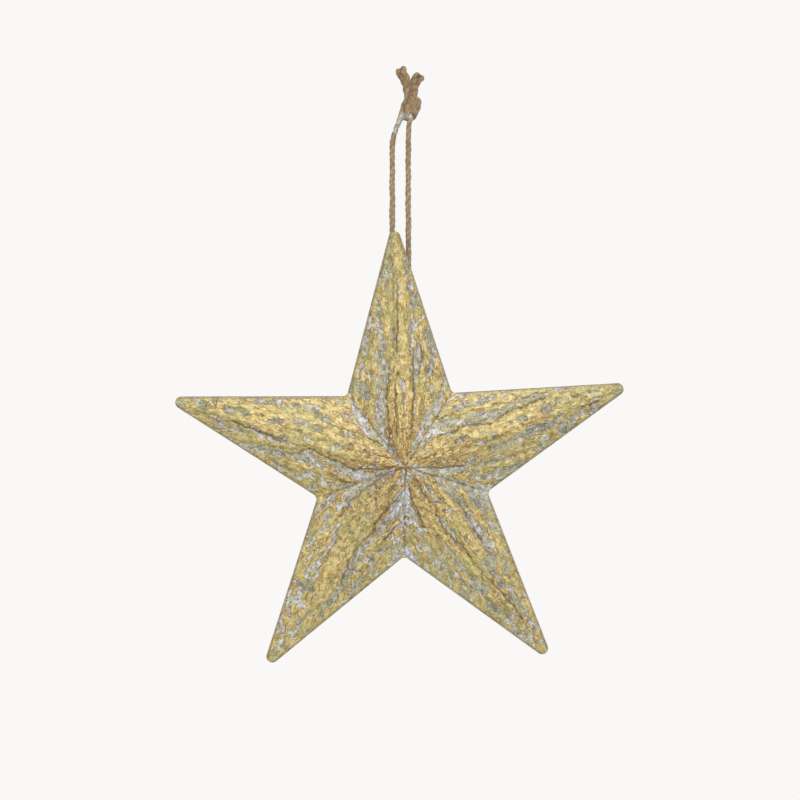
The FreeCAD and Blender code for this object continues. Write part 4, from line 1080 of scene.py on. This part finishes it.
def jute():
    """Dry jute: fibres with the ply's twist, painted shade between the plies, white and grey smears."""
    finish, place = new_finish("jute")
    tree = finish.node_tree
    fibre = {"X": mark(tree, "fibre_a"), "Y": mark(tree, "fibre_b"), "Z": mark(tree, "fibre_run")}
    along = node(tree, "CombineXYZ", **fibre).outputs[0]
    height = node(tree, "SeparateXYZ", Vector=place).outputs["Z"]
    fibres = grain(along, 0.22, 3, 0.6, (1, 1, 9))
    lumps = grain(along, 1.6, 3, 0.6, (1, 1, 2.5))
    drift = grain(along, 9.0, 2, 0.5, (9, 9, 1))
    patchy = between(grain(along, 0.9, 4, 0.65), 0.32, 0.5)
    colour = over(
        graded(fibres, (0.3, jute_dark), (0.5, jute_mid), (0.68, jute_light)),
        (between(lumps, 0.48, 0.7, 0, 0.6), jute_dark),
        (between(drift, 0.4, 0.65, 0, 0.3), jute_reddish),
        (between(drift, 0.36, 0.5, 0.4, 0), jute_dark),
        (between(height, 5 * mm, 12 * mm, 0, 0.4), jute_tan),
        # Painted shade between the plies.
        (between(mark(tree, "painted_ply_shade"), 0.1, 0.3, 0, 0.6), jute_shade),
        # Painted shade in the knot's crevices.
        (times(mark(tree, "painted_knot_shade"), between(lumps, 0.38, 0.62, 0.9, 0.6)), jute_shade),
        (times(mark(tree, "paint"), patchy), graded(lumps, (0.42, smear_grey), (0.6, smear_pale))),
    )
    shader = tree.nodes["Principled BSDF"]
    shader.inputs["Sheen Weight"].default_value = 0.25
    shader.inputs["Sheen Roughness"].default_value = 0.5
    return finished(finish, colour, 0.0, 0.88, bumped(fibres, 0.14 * mm, 0.9))


def smeared(piece, mark_name, lines):
    """Marks paint, and painted shade in the knot, on a cord, along lines of the photograph's places."""
    places = np.array([vertex.co for vertex in piece.data.vertices], float)
    column, row = seen_at(places[:, 0], places[:, 1], places[:, 2])
    share = np.zeros(len(places))
    for line in lines:
        gap, width = from_line(column, row, line)
        share = np.maximum(share, 1 - soften(gap, width * 0.4, width * 1.3))
    stored = piece.data.attributes.new(mark_name, "FLOAT", "POINT")
    stored.data.foreach_set("value", share.astype(np.float32))


paint_smears = (
    ((403, 115, 4.0), (399.5, 122, 3.8)), ((409.5, 116, 2.6), (410, 119, 3.0)),
    ((397, 128, 2.2), (395, 131, 2.6)),
)
# Painted shade where the tails cross and in the crevices of the knot.
knot_shade_lines = (
    ((411.4, 82, 1.0), (410.6, 90, 1.3), (409, 96, 1.4), (406.8, 103, 1.4)),
    ((403.5, 104, 0.9), (404.5, 111, 1.0), (405.5, 116, 1.2)), ((401, 84, 1.0), (403.5, 92, 1.2)),
    ((412, 113, 1.2), (414.5, 118, 1.8)), ((404, 120, 1.2), (406, 122, 1.2)),
    ((416, 84, 1.0), (419, 76, 2.0)), ((400, 73, 1.0), (404, 76, 1.8)), ((392, 131, 2.2), (391, 135, 1.6)),
)
jute_finish = jute()
left_cord, left_line, left_length, side_end, phase_end = laid_cord(
    "left_cord", left_route, (1, 0, 0), 0.0, 61, True)
bight_cord, bight_line, bight_length, side_end, phase_end = laid_cord(
    "bight_cord", bight_route, (1, 0, 0), 0.0, 62, False)
right_cord, right_line, right_length, side_end, phase_end = laid_cord(
    "right_cord", right_route, side_end, phase_end, 63, True)
for cord_piece in (left_cord, right_cord, bight_cord):
    smeared(cord_piece, "paint", paint_smears)
    smeared(cord_piece, "painted_knot_shade", knot_shade_lines)
    cord_piece.data.materials.append(jute_finish)
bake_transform(left_cord)
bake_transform(right_cord)
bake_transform(bight_cord)
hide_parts("cord_leg_left", "cord_tail_right", "cord_knot")
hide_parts("cord_leg_right", "cord_tail_left")
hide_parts("cord_bight")

# Viewpoint, light and floor: a long lens straight in front, a broad lamp in front and above, another
# behind for the views of the back, and a pale room all round.
backdrop = shade((250, 248, 246))
floor_level, floor_reach = -0.46, 4.0
camera = bpy.data.objects.new("camera", bpy.data.cameras.new("camera"))
camera.data.lens, camera.data.sensor_width = lens, sensor
camera.location = ((photo_middle - nail_column) * pixel, plate_front - view_distance,
                   (nail_row - photo_middle) * pixel)
camera.rotation_euler = (math.pi / 2, 0, 0)
bpy.context.scene.collection.objects.link(camera)
bpy.context.scene.camera = camera
bpy.context.scene.view_settings.view_transform = "Standard"


def lamp(name, place, aim, size, power):
    """A soft square lamp."""
    made = bpy.data.objects.new(name, bpy.data.lights.new(name, "AREA"))
    made.data.size, made.data.energy = size, power
    made.location = place
    made.rotation_euler = (Vector(aim) - Vector(place)).to_track_quat("-Z", "Y").to_euler()
    bpy.context.scene.collection.objects.link(made)


def seen_rays(tree):
    """1 for the rays that make the background of the picture, 0 for those that light the piece."""
    rays = node(tree, "LightPath").outputs
    seen = reckon("MAXIMUM", rays["Is Camera Ray"], rays["Is Glossy Ray"])
    return reckon("MAXIMUM", seen, rays["Is Transmission Ray"])


def mixed(share, first, second):
    """Two shaders mixed, the second as far as share says."""
    made = node(share.id_data, "MixShader")
    for value, socket in zip((share, first.outputs[0], second.outputs[0]), made.inputs):
        feed(value, socket)
    return made.outputs[0]


star_middle = (star_across, 0, star_up)
lamp("key_lamp", (0.1, -1.15, 0.85), star_middle, 0.55, 15.4)
lamp("back_lamp", (0.5, 1.3, 0.9), star_middle, 0.9, 12)

world = bpy.data.worlds.new("room")
world.use_nodes = True
bpy.context.scene.world = world
room = world.node_tree
room.nodes.clear()
fill = node(room, "Background", Color=(0.6, 0.6, 0.6, 1))
wall = node(room, "Background", Color=backdrop)
node(room, "OutputWorld", Surface=mixed(seen_rays(room), fill, wall))

floor_mesh = bpy.data.meshes.new("floor")
corners = [(x * floor_reach, y * floor_reach, floor_level) for x, y in ((-1, -1), (1, -1), (1, 1), (-1, 1))]
floor_mesh.from_pydata(corners, [], [(0, 1, 2, 3)])
floor = bpy.data.objects.new("floor", floor_mesh)
bpy.context.scene.collection.objects.link(floor)
floor_finish, place = new_finish("pale_floor")
tree = floor_finish.node_tree
flat_place = node(tree, "VectorMath", {"operation": "MULTIPLY"})
feed(place, flat_place.inputs[0])
feed((1, 1, 0), flat_place.inputs[1])
distance = node(tree, "VectorMath", {"operation": "LENGTH"})
feed(flat_place.outputs[0], distance.inputs[0])
mottled = graded(grain(place, 0.02, 3), (0.3, (246, 246, 244)), (0.7, (250, 250, 249)))
shader = tree.nodes["Principled BSDF"]
feed(mottled, shader.inputs["Base Color"])
feed(0.9, shader.inputs["Roughness"])
glow = node(tree, "Emission", Color=backdrop)
away = between(distance.outputs["Value"], 0.16, 0.42, 0.25, 1.0)
faded = mixed(times(away, seen_rays(tree)), shader, glow)
feed(faded, tree.nodes["Material Output"].inputs["Surface"])
floor_mesh.materials.append(floor_finish)
